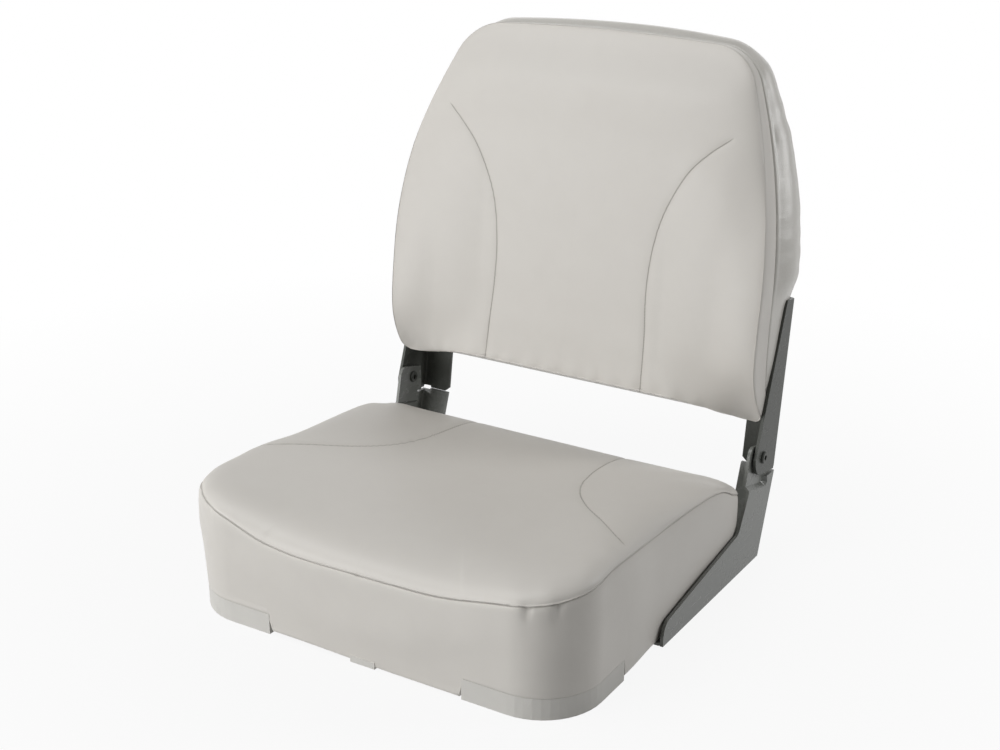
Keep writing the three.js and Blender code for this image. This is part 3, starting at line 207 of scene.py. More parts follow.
def evenly(points, count):
    """Points at even steps of length along a polyline."""
    steps = np.linalg.norm(np.diff(points, axis=0), axis=1)
    length = np.concatenate([[0], np.cumsum(steps)])
    at = np.linspace(0, length[-1], count)
    return np.stack([np.interp(at, length, points[:, k]) for k in range(points.shape[1])], 1)


def both_halves(half):
    """The right half of an outline, and its mirror image walked back to the start."""
    left = half[1:-1][::-1] * np.array([-1, 1])
    return np.concatenate([half, left])


def runs_of(count):
    """Share of the way round each half of an outline of this many even steps."""
    k = np.arange(count)
    return np.minimum(k, count - k) / (count / 2)


def normals_of(plan):
    """Unit vector inward at each point of a closed outline that runs anticlockwise."""
    run = np.roll(plan, -1, 0) - np.roll(plan, 1, 0)
    run /= np.linalg.norm(run, axis=1)[:, None]
    return np.stack([-run[:, 1], run[:, 0]], 1)


def bell(x, reach):
    """Gaussian of x: 1 at 0, and 1/e at the reach."""
    return np.exp(-((x / reach) ** 2))


def toward(start, plan, share):
    """Points this share of the way from a start, which is one point or as many, to the points of a plan."""
    return start + (plan - start) * share


def arc(cx, cy, radius, a0, a1, count=40):
    """Points of a circle of this radius from angle a0 to a1."""
    a = np.linspace(a0, a1, count)
    return np.stack([cx + radius * np.cos(a), cy + radius * np.sin(a)], 1)


# Meshes


def mesh_object(name, points, quads, tris):
    """A mesh in metres from arrays of points in millimetres, quads and triangles."""
    mesh = bpy.data.meshes.new(name)
    loops = np.concatenate([quads.ravel(), tris.ravel()]).astype(np.int32)
    totals = np.concatenate([np.full(len(quads), 4), np.full(len(tris), 3)]).astype(np.int32)
    starts = np.concatenate([[0], np.cumsum(totals)[:-1]]).astype(np.int32)
    mesh.vertices.add(len(points))
    mesh.vertices.foreach_set("co", (np.asarray(points, float) * MM).astype(np.float32).ravel())
    mesh.loops.add(len(loops))
    mesh.loops.foreach_set("vertex_index", loops)
    mesh.polygons.add(len(totals))
    mesh.polygons.foreach_set("loop_start", starts)
    mesh.polygons.foreach_set("loop_total", totals)
    mesh.polygons.foreach_set("use_smooth", np.ones(len(totals), bool))
    mesh.update(calc_edges=True)
    mesh.validate()
    obj = bpy.data.objects.new(name, mesh)
    bpy.context.scene.collection.objects.link(obj)
    return obj


def ring_faces(rows, count):
    """Quads between closed rings, then fans to the point before the first ring and the point after the last."""
    i, j = np.meshgrid(np.arange(rows - 1), np.arange(count), indexing="ij")
    k = (j + 1) % count
    quads = np.stack([i * count + j, (i + 1) * count + j, (i + 1) * count + k, i * count + k], -1).reshape(-1, 4)
    j = np.arange(count)
    k = (j + 1) % count
    first, last = rows * count, rows * count + 1
    top = np.stack([np.full(count, first), j, k], 1)
    bottom = np.stack([np.full(count, last), (rows - 1) * count + k, (rows - 1) * count + j], 1)
    return quads, np.concatenate([top, bottom])


def ringed(name, rings, first, last):
    """A closed form skinned over rings of the same number of points, from a first point to a last one."""
    rings = np.array(rings)
    rows, count = rings.shape[:2]
    points = np.concatenate([rings.reshape(-1, 3), [first], [last]])
    return mesh_object(name, points, *ring_faces(rows, count))


def ring_rows(rings):
    """Row number of each point of a ringed form: its end points take the numbers of the first and last rows."""
    rows, count = len(rings), len(rings[0])
    return np.concatenate([np.repeat(np.arange(rows), count), [0, rows - 1]])


def closed(ring):
    """A ring as a line that ends where it starts."""
    return np.concatenate([ring, ring[:1]])


def read_vectors(mesh, what):
    """The places ("co") or normals ("normal") of a mesh's vertices, as an array."""
    values = np.empty(len(mesh.vertices) * 3, np.float32)
    mesh.vertices.foreach_get(what, values)
    return values.reshape(-1, 3)


def points_of(obj):
    """The vertices of an object's mesh, in millimetres."""
    return read_vectors(obj.data, "co").astype(float) / MM


def normals_at(obj):
    """The vertex normals of an object's mesh."""
    return read_vectors(obj.data, "normal").astype(float)


def put_points(obj, points):
    """Moves the vertices of an object's mesh to these places, in millimetres."""
    obj.data.vertices.foreach_set("co", (points * MM).astype(np.float32).ravel())
    obj.data.update()


def put_field(obj, name, values):
    """A number at each vertex, which the materials read by name."""
    field = obj.data.attributes.get(name) or obj.data.attributes.new(name, "FLOAT", "POINT")
    field.data.foreach_set("value", np.asarray(values, np.float32))


def applied(obj):
    """The object with its modifiers made part of its mesh."""
    graph = bpy.context.evaluated_depsgraph_get()
    mesh = bpy.data.meshes.new_from_object(obj.evaluated_get(graph))
    obj.modifiers.clear()
    obj.data = mesh
    return obj


def inflated(obj, voxel=5.5, pressure=4.0, frames=20):
    """A remeshed copy of a closed form, blown up as cloth with the air pressure given and no weight."""
    puffed = obj.copy()
    puffed.data = obj.data.copy()
    bpy.context.scene.collection.objects.link(puffed)
    remesh = puffed.modifiers.new("voxels", "REMESH")
    remesh.mode = "VOXEL"
    remesh.voxel_size = voxel * MM
    applied(puffed)
    cloth = puffed.modifiers.new("cloth", "CLOTH")
    cloth.settings.use_pressure = True
    cloth.settings.uniform_pressure_force = pressure
    cloth.settings.effector_weights.gravity = 0
    cloth.settings.quality = 4
    cloth.collision_settings.use_collision = False
    for k in range(1, frames + 1):
        bpy.context.scene.frame_set(k)
    applied(puffed)
    bpy.context.scene.frame_set(1)
    return puffed


def evened(obj, values, rounds):
    """A number at each point of a mesh, averaged with its neighbours' over and over."""
    ends = np.empty(len(obj.data.edges) * 2, np.int32)
    obj.data.edges.foreach_get("vertices", ends)
    a, b = ends.reshape(-1, 2).T
    total = len(values)
    degree = np.bincount(ends, minlength=total)
    for _ in range(rounds):
        around = np.bincount(a, values[b], total) + np.bincount(b, values[a], total)
        values = 0.5 * (values + around / degree)
    return values


def filled_out(obj, weight, cap):
    """Lifts a form's points towards its inflated copy, by at most the cap, in shares given point by point.

    The lift is evened over the neighbours, which leaves the cloth's fullness and takes out its puckers.
    """
    puffed = inflated(obj)
    rest = points_of(obj)
    wrap = obj.modifiers.new("wrap", "SHRINKWRAP")
    wrap.target = puffed
    wrap.wrap_method = "PROJECT"
    wrap.use_negative_direction = True
    wrap.use_positive_direction = True
    wrap.project_limit = 3 * cap * MM
    graph = bpy.context.evaluated_depsgraph_get()
    step = read_vectors(obj.evaluated_get(graph).data, "co") / MM - rest
    obj.modifiers.clear()
    normal = normals_at(obj)
    lift = np.clip(np.einsum("ij,ij->i", step, normal), -cap, cap)
    put_points(obj, rest + normal * (evened(obj, lift, LIFT_ROUNDS) * weight)[:, None])
    bpy.data.objects.remove(puffed)


# Seams


def extended(line):
    """A line with a straight tail at both ends, so that its two sides stay told apart past them."""
    head = line[0] - line[3]
    tail = line[-1] - line[-4]
    head *= SEAM_TAIL / np.linalg.norm(head)
    tail *= SEAM_TAIL / np.linalg.norm(tail)
    return np.concatenate([[line[0] + head], line, [line[-1] + tail]])


def seam_fields(points, side_of, seams):
    """Signed distance to the nearest seam, plus on its side_of side, and the run along it, in millimetres."""
    best = np.full(len(points), 1e6)
    signed = np.full(len(points), 1e6)
    run = np.zeros(len(points))
    start = 0.0
    for line in seams:
        a, b = line[:-1], line[1:]
        d = b - a
        length = np.linalg.norm(d, axis=1)
        along = start + np.concatenate([[0], np.cumsum(length)[:-1]])
        for low in range(0, len(points), 8000):
            p = points[low:low + 8000]
            near = np.einsum("pjk,jk->pj", p[:, None] - a[None], d) / length**2
            t = np.clip(near, 0, 1)
            foot = a[None] + t[..., None] * d[None]
            gap = np.linalg.norm(p[:, None] - foot, axis=2)
            j = gap.argmin(1)
            k = np.arange(len(p))
            g = gap[k, j]
            side = np.einsum("pk,pk->p", p - foot[k, j], side_of(foot[k, j], d[j]))
            win = g < best[low:low + 8000]
            idx = low + k[win]
            best[idx] = g[win]
            signed[idx] = np.where(side[win] < 0, -g[win], g[win])
            run[idx] = along[j[win]] + t[k, j][win] * length[j[win]]
        start += length.sum() + SEAM_BREAK
    return signed, run


def waves(points, scale, seed):
    """A soft random field between about -1 and 1: a sum of sines in fixed directions, of this wavelength."""
    rng = np.random.default_rng(seed)
    total = np.zeros(len(points))
    for _ in range(9):
        d = rng.normal(size=3)
        d /= np.linalg.norm(d)
        total += np.sin(points @ d * 2 * np.pi / (scale * rng.uniform(0.7, 1.5)) + rng.uniform(0, 6.3))
    return total / 3.5


def sunk_seam(distance, depth, width):
    """Depth of a sewn valley: a narrow notch and a wider soft hollow, both bell curves of the distance."""
    return depth * (0.55 * np.exp(-((distance / (0.35 * width)) ** 2)) + 0.45 * np.exp(-((distance / width) ** 2)))


# Seat cushion


def seat_outline():
    """Rounded rectangle, front centre to the right and round, at even steps.

    The points next to a foot's end move up to it, so that the step of the hem there is a clean one.
    """
    rf, rr = FRONT_CORNER, REAR_CORNER
    half = np.concatenate([
        [[0, SEAT_FRONT]],
        arc(SEAT_HALF - rf, SEAT_FRONT + rf, rf, -math.pi / 2, 0),
        arc(SEAT_HALF - rr, SEAT_REAR - rr, rr, 0, math.pi / 2),
        [[0, SEAT_REAR]],
    ])
    outline = both_halves(evenly(half, RING_POINTS // 2 + 1))
    x, y = outline.T
    hand = np.sign(x)
    across, along = np.abs(x) - FOOT_FRONT_START, y - SEAT_FRONT - FOOT_SIDE_RUN
    on_front = (y < SEAT_FRONT + 0.1) & (np.abs(across) < FOOT_SNAP)
    on_side = (np.abs(x) > SEAT_HALF - 0.1) & (np.abs(along) < FOOT_SNAP)
    outline[:, 0] += np.where(on_front, (np.sign(across) * 0.2 - across) * hand, 0)
    outline[:, 1] += np.where(on_side, np.sign(along) * 0.2 - along, 0)
    return outline


def inset_plan(outline, inset):
    """The outline moved inward by an inset, given as one number or point by point."""
    return outline + normals_of(outline) * np.broadcast_to(inset, len(outline))[:, None]


def seat_plan(outline, inset):
    """The outline moved inward by an inset, and swollen sideways ahead of the brackets."""
    plan = inset_plan(outline, inset)
    ahead = smooth((HEEL_Y - FOOT_LENGTH - plan[:, 1]) / SWELL_REACH)
    plan[:, 0] += np.sign(plan[:, 0]) * SEAT_SWELL * ahead
    return plan


def seat_crown(x, y):
    """Height well inside the seam: falls with the square of the run to the rear, rises with the cube of the spread.

    Each wing is lower by a Gaussian at its front and fuller by another half way back.
    """
    run = (y - SEAT_FRONT) / SEAT_DEPTH
    spread = np.abs(x) / SEAT_HALF
    dip, full = (height * bell(y - place, reach) for height, place, reach in (WING_DIP, WING_FULL))
    return CROWN_HEIGHT - CROWN_FALL * run**2 + (WING_RISE * (1 - run**2) - dip + full) * spread**3


def boxing_taper(z):
    """How far the boxing draws in toward its hem at a height."""
    return BOXING_TAPER * np.clip((TAPER_TOP - z) / (TAPER_TOP - HEM_HEIGHT), 0, 1) ** 1.15


def seam_shares(outline, runs):
    """Height shares of the edge seam, which climbs sooner at the left front corner than at the right."""
    right = eased(SEAM_RUN_SHARES, SEAM_HEIGHT_SHARES, runs)
    left = eased(LEFT_RUN_SHARES, LEFT_SEAM_SHARES, runs)
    return np.where((outline[:, 0] < 0) & (runs < LEFT_RUN_SHARES[-1]), left, right)


def level(plan, height):
    """A ring of the seat: a plan at a height, given as one number or point by point."""
    return np.column_stack([plan, np.broadcast_to(height, len(plan))])


def seat_rings():
    """Rings over the crown, through the seam, down the boxing, round the hem and up inside to the pan's deck."""
    outline = seat_outline()
    runs = runs_of(RING_POINTS)
    seam_z = SEAM_HEIGHT * seam_shares(outline, runs)
    seam_in = SEAM_INSET * eased(SEAM_RUN_SHARES, SEAM_INSET_SHARES, runs)
    middle = np.array([0, SEAT_MID])
    edge = seat_plan(outline, seam_in)
    rings = []
    for share in crown_shares(SEAT_CROWN_ROWS, CROWN_EDGE_ROWS):
        at = toward(middle, edge, share)
        rise = (seat_crown(at[:, 0], at[:, 1]) - seam_z) * crown_rounding(share)
        rings.append(level(at, seam_z + rise))
    for inset, lift in SEAM_ROLL:
        rings.append(level(seat_plan(outline, seam_in + inset), seam_z + lift))
    seam_row = len(rings) - 4

    over_foot = (np.abs(edge[:, 0]) > FOOT_FRONT_START) & (edge[:, 1] < SEAT_FRONT + FOOT_SIDE_RUN)
    sag = HEM_SAG * smooth((edge[:, 0] + 80) / 120) * (edge[:, 1] < SEAT_FRONT + 20)
    bottom = np.where(over_foot, FOOT_TOP, HEM_HEIGHT - sag)
    fold = np.where(over_foot, 0.4, 1.2)
    for share in np.linspace(1, 0, SEAT_BOXING_ROWS + 1)[1:]:
        z = bottom + fold + (seam_z - 2.0 - bottom - fold) * share
        turn = max(0.0, (share - 0.8) / 0.2)
        under_seam = 0.5 * smooth((share - 0.55) / 0.45) + 0.5 * (1 - math.sqrt(1 - turn**2))
        rings.append(level(seat_plan(outline, seam_in * under_seam + boxing_taper(z)), z))

    drawn = boxing_taper(bottom)
    hem = np.where(over_foot, COVER_WALL + BOXING_TAPER - drawn, HEM_WIDTH)
    lip = np.maximum(hem - 0.6, 2)
    inside = BOXING_TAPER + COVER_WALL
    for inset, z in (
        (drawn + 0.3 * fold, bottom + 0.3 * fold), (drawn + fold, bottom), (drawn + lip, bottom),
        (drawn + hem, bottom + 1.2), (drawn + lip, bottom + COVER_WALL), (inside, bottom + COVER_WALL),
        (inside, DECK_HEIGHT),
    ):
        rings.append(level(seat_plan(outline, inset), z))
    inner = seat_plan(outline, inside)
    for share in (0.9, 0.6, 0.3):
        rings.append(level(toward(middle, inner, share), DECK_HEIGHT))
    return rings, seam_row


def seat_wing_seam(surface):
    """The right wing's seam, from the rear edge forward and out to the side, laid on the surface from above."""
    runs, spreads = np.array(WING_SEAT_RUN_SHARES), np.array(WING_SEAT_SPREAD_SHARES)
    key = np.arange(len(runs))
    fine = np.linspace(0, len(runs) - 1, 90)
    flat = np.column_stack([SEAT_HALF * eased(key, spreads, fine), SEAT_REAR - SEAT_DEPTH * eased(key, runs, fine)])
    return laid_on(surface, flat, lambda p: (p[0], p[1], 200.0), (0, 0, -1))


def laid_on(surface, flat, lift, direction):
    """A flat curve laid onto an object's surface along a direction."""
    hits = []
    for p in flat:
        hit, place, _, _ = surface.ray_cast(Vector(lift(p)) * MM, Vector(direction))
        if hit:
            hits.append(np.array(place) / MM)
    return np.array(hits)


def flipped(line):
    """The mirror image of a line, left for right."""
    return line * np.array([-1, 1, 1])


def across_up(_, run):
    """Sideways direction on a surface that faces up, seen along the run."""
    return np.cross(np.array([0, 0, 1.0]), run)


def seat_cushion():
    """Foam seat cushion in its sewn cover: crowned top, seamed edge, boxing and hem round the pan."""
    rings, seam_row = seat_rings()
    top = [0, SEAT_MID, seat_crown(0, SEAT_MID)]
    obj = ringed("seat_cushion", rings, top, [0, SEAT_MID, DECK_HEIGHT])
    row = ring_rows(rings)
    points = points_of(obj)
    wing = seat_wing_seam(obj)
    outside = row <= seam_row + SEAT_BOXING_ROWS + 1
    from_edge, _ = seam_fields(points, lambda f, d: np.cross(f - [0, SEAT_MID, 60], d), [closed(rings[seam_row])])
    beside_bracket = smooth((points[:, 1] - (HEEL_Y - FOOT_LENGTH - 30)) / 30) * (row > seam_row - 6)
    low = smooth((points[:, 2] - 12) / 25)
    weight = outside * smooth(np.abs(from_edge) / LIFT_REACH) * (1 - beside_bracket) * low
    filled_out(obj, weight, LIFT_CAP)
    points, normal = points_of(obj), normals_at(obj)
    wings, wing_run, shown = wing_fields(points, across_up, wing, flipped(wing))
    shown = shown * (row <= seam_row)
    drop = sunk_seam(wings, 1.0, 3.6) * shown
    drop += np.where(outside, sunk_seam(from_edge, 0.35, 3.0), 0)
    points = points - normal * drop[:, None]
    points += normal * seat_creases(points, row > seam_row, from_edge, outside)[:, None]
    held = (points[:, 1] > HEEL_Y - FOOT_LENGTH - 8) & (row > seam_row - 10)
    points[:, 0] = np.where(held, np.clip(points[:, 0], -SEAT_HALF, SEAT_HALF), points[:, 0])
    put_points(obj, points)
    put_seam_fields(obj, row <= seam_row, outside, from_edge, (wings, wing_run, shown))
    return obj


def wing_fields(points, side_of, wing, other):
    """Distance to the two wing seams, the run along them, and 1 on them fading to 0 past their ends."""
    gap, run = seam_fields(points, side_of, [extended(wing), extended(other)])
    length = np.linalg.norm(np.diff(wing, axis=0), axis=1).sum()
    whole = length + 2 * SEAM_TAIL
    run = np.where(run > whole + SEAM_BREAK / 2, run - whole - SEAM_BREAK, run)
    shown = smooth((run - SEAM_TAIL + 3) / 6) * smooth((length + SEAM_TAIL + 3 - run) / 6)
    return gap, run, shown


def put_seam_fields(obj, inside, outside, from_edge, wing):
    """Stores what the vinyl reads: gap and run of the edge seam, and gap, run and presence of the wing seams."""
    edge = np.where(inside, np.abs(from_edge), -np.abs(from_edge))
    rows = (len(inside) - 2) // RING_POINTS
    put_field(obj, "edge_gap", np.where(outside, edge, -50))
    put_field(obj, "edge_run", np.concatenate([np.tile(np.arange(RING_POINTS) * RING_STEP, rows), [0, 0]]))
    for name, values in zip(("wing_gap", "wing_run", "wing_on"), wing):
        put_field(obj, name, values)


def seat_creases(points, below_seam, from_edge, outside):
    """Height along the normal of the soft shapes the cloth has round its seam.

    Two gathers at each front corner are Gaussian dips just under the seam with a tuck above them. The left front
    corner of the boxing stands a little fuller. A slow ripple follows the seam along the front of the sides.
    """
    x, y, z = points.T
    below = below_seam & outside
    depth = np.where(below, GATHER_DEPTH * bell(from_edge, 10), TUCK_DEPTH * bell(from_edge, 4))
    gathers = np.zeros(len(x))
    for gx, gy in GATHERS:
        for side, share in ((1, 1.0), (-1, LEFT_GATHER_SHARE)):
            gathers -= share * bell(x - side * gx, 3.4) * bell(y - gy, 4.4) * depth
    run = np.arctan2(x, -(y - SEAT_MID)) * 190
    loose = bell(np.abs(x) - 178, 40) * bell(y + 130, 60) * np.where(x > 0, 1.0, 0.6)
    slow = np.sin(run * 2 * np.pi / 27 + waves(points, 70, 3))
    ripple = slow * bell(from_edge, 20) * outside * loose * 0.4
    broad = waves(points * [1, 1, 0.6], 130, 5) * 0.35 * outside
    full = LEFT_FULLNESS * below
    for at, place, reach in zip((x, y, z), LEFT_FULL_PLACE, LEFT_FULL_REACH):
        full = full * bell(at - place, reach)
    return gathers + ripple + broad + full


# Backrest


def back_outline():
    """Backrest outline in (x, w): straight foot, rounded corners, sides that taper with the height squared."""
    edge_top = BACK_TOP - BACK_TOP_DROP
    taper = lambda w: BACK_HALF - BACK_TAPER_SHARE * np.maximum(w - BACK_TAPER_START, 0) ** 2
    shoulder = edge_top - BACK_TOP_CORNER * 0.6
    lean = math.atan(2 * BACK_TAPER_SHARE * (shoulder - BACK_TAPER_START))
    side = np.linspace(BACK_TAPER_START, shoulder, 60)
    hx = taper(shoulder) - BACK_TOP_CORNER * math.cos(lean)
    hw = shoulder - BACK_TOP_CORNER * math.sin(lean)
    half = np.concatenate([
        [[0, BACK_BOTTOM]],
        arc(BACK_HALF - BACK_BOTTOM_CORNER, BACK_BOTTOM + BACK_BOTTOM_CORNER, BACK_BOTTOM_CORNER, -math.pi / 2, 0),
        np.column_stack([taper(side), side]),
        arc(hx, hw, BACK_TOP_CORNER, lean, math.pi / 2),
        [[0, hw + BACK_TOP_CORNER]],
    ])
    outline = both_halves(evenly(half, RING_POINTS // 2 + 1))
    return outline + np.column_stack([np.zeros(len(outline)), top_arch(outline, BACK_TOP_CROWN)])


def top_arch(plan, rise):
    """Rise of the top edge: a parabola across the width, only near the top."""
    across = 1 - np.clip(np.abs(plan[:, 0]) / TOP_ARCH_HALF, 0, 1) ** 2
    return rise * across * smooth((plan[:, 1] - 330) / 60)


def swell_at(w):
    """Share of the padding's swell at a height: none beside the brackets, full above them, less at the top."""
    start = smooth((w - BACK_SWELL_START) / BACK_SWELL_REACH)
    return start * (1 - (1 - BACK_SWELL_TOP_SHARE) * smooth((w - BACK_TOP + BACK_SWELL_FADE) / BACK_SWELL_FADE))


def rear_plan(outline, inset, share=1.0):
    """The rear wrap's outline, which swells outward above the brackets and arches more at the top."""
    plan = inset_plan(outline, inset - share * BACK_REAR_SWELL * swell_at(outline[:, 1]))
    return plan + np.column_stack([np.zeros(len(plan)), top_arch(outline, share * REAR_TOP_CROWN)])


def back_run(w):
    """Share of the backrest's height."""
    return (w - BACK_BOTTOM) / (BACK_TOP - BACK_BOTTOM)


def foot_middle(plan):
    """1 along the middle of the foot edge, falling to 0 towards its corners and up the sides."""
    across = 1 - smooth((np.abs(plan[:, 0]) - FOOT_MIDDLE_HALF) / FOOT_MIDDLE_FADE)
    return across * (1 - smooth((plan[:, 1] - BACK_BOTTOM - 3) / 45))


def side_thickness(x, w):
    """Thickness at the seamed edge down the sides, by height: the foot corners draw back, the left one less."""
    drawn = np.where(x > 0, 1, LEFT_CORNER_SHARE + (1 - LEFT_CORNER_SHARE) * smooth((w - 250) / 100))
    return BACK_THICKNESS * (1 - (1 - eased(SIDE_RUN_SHARES, SIDE_SHARES, back_run(w))) * drawn)


def edge_thickness(plan):
    """Thickness at the seamed edge: that of the sides, and nearly full along the middle of the foot."""
    sides = side_thickness(plan[:, 0], plan[:, 1])
    return sides + (FOOT_SEAM_SHARE * BACK_THICKNESS - sides) * foot_middle(plan)


def groove_depth(w):
    """Distance from the rear face to the groove between cushion and wrap, by height."""
    return BACK_THICKNESS * GROOVE_SHARE * eased(BACK_HEIGHT_SHARES, BACK_THICKNESS_SHARES, back_run(w))


def face_thickness(x, w):
    """Thickness well inside the seam: a profile by height, plus wings that puff up as a sine across and up.

    Low down it passes over to the thickness of the sides near them.
    """
    across = (np.abs(x) / BACK_HALF - WING_START_SHARE) / (1 - WING_START_SHARE)
    up = back_run(w) / WING_TOP_SHARE
    puff = WING_PUFF * np.sin(np.pi * np.clip(across, 0, 1)) * np.sin(np.pi * np.clip(up, 0, 1))
    face = BACK_THICKNESS * eased(BACK_FACE_RUN_SHARES, BACK_FACE_SHARES, back_run(w))
    beside = smooth((np.abs(x) / BACK_HALF - 0.74) / 0.24) * (1 - smooth((w - 230) / 80))
    return face + (side_thickness(x, w) + 2 - face) * beside + puff


def leaned(rings):
    """Turns (x, v, w) of the backrest's leaning frame into (x, y, z)."""
    rings = np.asarray(rings, float)
    x, v, w = rings[..., 0], rings[..., 1], rings[..., 2]
    y = SPLIT_Y + v * math.cos(UPPER_LEAN) + w * math.sin(UPPER_LEAN)
    z = SPLIT_HEIGHT - v * math.sin(UPPER_LEAN) + w * math.cos(UPPER_LEAN)
    return np.stack([x, y, z], -1)


def ring_at(plan, depth):
    """A ring of the backrest at a depth ahead of its rear face."""
    return np.column_stack([plan[:, 0], BACK_REAR_V - np.broadcast_to(depth, len(plan)), plan[:, 1]])


def front_rings():
    """Rings over the front face, through the seam, back along the boxing to the groove and in behind."""
    outline = back_outline()
    edges = edge_thickness(outline)
    middle = np.array([0, BACK_MID])
    rise = np.column_stack([np.zeros(RING_POINTS), FOOT_SEAM_RISE * foot_middle(outline)])
    edge = outline + rise
    rings = []
    for share in crown_shares(BACK_CROWN_ROWS, CROWN_EDGE_ROWS):
        at = toward(middle, edge, share)
        face = face_thickness(at[:, 0], at[:, 1])
        rings.append(ring_at(at, edges + (face - edges) * crown_rounding(share)))
    for inset, back in BACK_SEAM_ROLL:
        rings.append(ring_at(inset_plan(outline, inset) + rise, edges - back))
    seam_row = len(rings) - 4

    deep = groove_depth(outline[:, 1])
    start = edges - BACK_SEAM_ROLL[-1][1]
    for share in np.linspace(0, 1, 10)[1:]:
        bulge = -BACK_BOXING_BULGE * math.sin(math.pi * share) * swell_at(outline[:, 1])
        at = inset_plan(outline, bulge) + rise * (1 - share)
        rings.append(ring_at(at, start + (deep + GROOVE_LIP - start) * share))
    for t in np.linspace(0, math.pi / 2, 7)[1:]:
        inset = GROOVE_DIP * (1 - math.cos(t)) + 0.4 * (t > 1.5)
        depth = deep + BEHIND_GAP + (GROOVE_LIP - BEHIND_GAP) * (1 - math.sin(t))
        rings.append(ring_at(inset_plan(outline, inset), depth))
    behind = inset_plan(outline, BEHIND_INSET)
    rings.append(ring_at(behind, deep + BEHIND_GAP))
    for share in (0.6, 0.3):
        at = toward(middle, behind, share)
        rings.append(ring_at(at, groove_depth(at[:, 1]) + BEHIND_GAP))
    return rings, seam_row


def back_wing_seam(surface, side, spreads):
    """A wing's seam on the backrest, laid on the surface from the front: side is 1 on the right, -1 on the left."""
    runs = np.array(WING_BACK_RUN_SHARES)
    key = np.arange(len(runs))
    fine = np.linspace(0, len(runs) - 1, 110)
    x = side * BACK_HALF * eased(key, spreads, fine)
    w = BACK_BOTTOM + (BACK_TOP - BACK_BOTTOM) * eased(key, runs, fine)
    start = leaned(np.column_stack([x, np.full(110, -230.0), w]))
    direction = (0, math.cos(UPPER_LEAN), -math.sin(UPPER_LEAN))
    return laid_on(surface, start, lambda p: tuple(p), direction)


def middle_point(depth):
    """The middle of the backrest at a depth ahead of its rear face."""
    return leaned([0, BACK_REAR_V - depth, BACK_MID])


def backrest_cushion():
    """The backrest's front cushion: panel, wings, seamed edge and boxing as far as the groove."""
    rings, seam_row = front_rings()
    world = leaned(rings)
    first = middle_point(face_thickness(0.0, BACK_MID))
    last = middle_point(groove_depth(BACK_MID) + BEHIND_GAP)
    obj = ringed("backrest_cushion", world, first, last)
    row = ring_rows(rings)
    on_face, on_cover = row <= seam_row, row < len(rings) - 6
    points = points_of(obj)
    wing = back_wing_seam(obj, 1, WING_BACK_RIGHT_SHARES)
    other = back_wing_seam(obj, -1, WING_BACK_SPREAD_SHARES)
    from_edge, _ = seam_fields(points, np.cross, [closed(world[seam_row])])
    filled_out(obj, on_face * smooth(np.abs(from_edge) / LIFT_REACH), LIFT_CAP)
    points, normal = points_of(obj), normals_at(obj)
    side = lambda f, d: np.cross(np.array([0, -1.0, 0.15]), d)
    wings, wing_run, shown = wing_fields(points, side, wing, other)
    shown = shown * on_face
    drop = sunk_seam(wings, 0.9, 3.4) * shown
    drop += np.where(on_cover, sunk_seam(from_edge, 0.3, 3.0), 0)
    points = points - normal * drop[:, None]
    broad = waves(points * [1, 1, 0.7], 150, 11) * 0.3 * on_face * smooth(np.abs(from_edge) / 10)
    foot = bell(points[:, 2] - 156, 14) * bell(from_edge, 14) * on_face
    broad += np.sin(points[:, 0] * 2 * np.pi / 23 + waves(points, 70, 13)) * foot * 0.5
    points += normal * broad[:, None]
    put_points(obj, points)
    put_seam_fields(obj, on_face, on_cover, from_edge, (wings, wing_run, shown))
    return obj


def rear_rings():
    """Rings from the groove back over the wrap's side, round its rear edge and onto the flat back."""
    outline = back_outline()
    middle = np.array([0, BACK_MID])
    deep = groove_depth(outline[:, 1]) - BEHIND_GAP
    rings = []
    inner = inset_plan(outline, BEHIND_INSET)
    for share in (0.3, 0.6):
        at = toward(middle, inner, share)
        rings.append(ring_at(at, groove_depth(at[:, 1]) - BEHIND_GAP))
    rings.append(ring_at(inner, deep))
    plan0, plan1 = inset_plan(outline, GROOVE_DIP + 0.4), rear_plan(outline, 0.0, WRAP_START_SHARE)
    for t in np.linspace(0, math.pi / 2, 8):
        rings.append(ring_at(toward(plan0, plan1, math.sin(t)), deep - (WRAP_LIP + 1) * (1 - math.cos(t))))
    start = deep - WRAP_LIP - 1
    for share in np.linspace(0, 1, 19)[1:-1]:
        filled = WRAP_START_SHARE + (1 - WRAP_START_SHARE) * math.sin(math.pi / 2 * min(1, share / 0.8))
        bulge = -WRAP_BULGE * math.sin(math.pi * share)
        rings.append(ring_at(rear_plan(outline, bulge, filled), start + (BACK_REAR_ROUND - start) * share))
    for t in np.linspace(0, math.pi / 2, 9):
        inset = BACK_REAR_ROUND * (1 - math.cos(t))
        rings.append(ring_at(rear_plan(outline, inset), BACK_REAR_ROUND * (1 - math.sin(t))))
    rear = rear_plan(outline, BACK_REAR_ROUND)
    for share in np.linspace(1, 0, 46)[1:-1]:
        rings.append(ring_at(toward(middle, rear, share), 0.0))
    return rings


def backrest_wrap():
    """The grained vinyl wrap over the backrest's sides and back, pulled tight over the shell."""
    rings = rear_rings()
    first = middle_point(groove_depth(BACK_MID) - BEHIND_GAP)
    obj = ringed("backrest_rear_wrap", leaned(rings), first, middle_point(0.0))
    row = ring_rows(rings)
    points, normal = points_of(obj), normals_at(obj)
    side = smooth((row - 9) / 4) * smooth((37 - row) / 6)
    shoulder = smooth((points[:, 2] - 250) / 60)
    wrinkle = waves(points * [0.15, 0.15, 1], 22, 21) * 0.35 + waves(points * [0.3, 0.3, 1], 46, 22) * 0.4
    points += normal * (wrinkle * side * (0.25 + 0.75 * shoulder))[:, None]
    put_points(obj, points)
    return obj


# Shader groups

NUMBER = "NodeSocketFloat"
VECTOR = "NodeSocketVector"


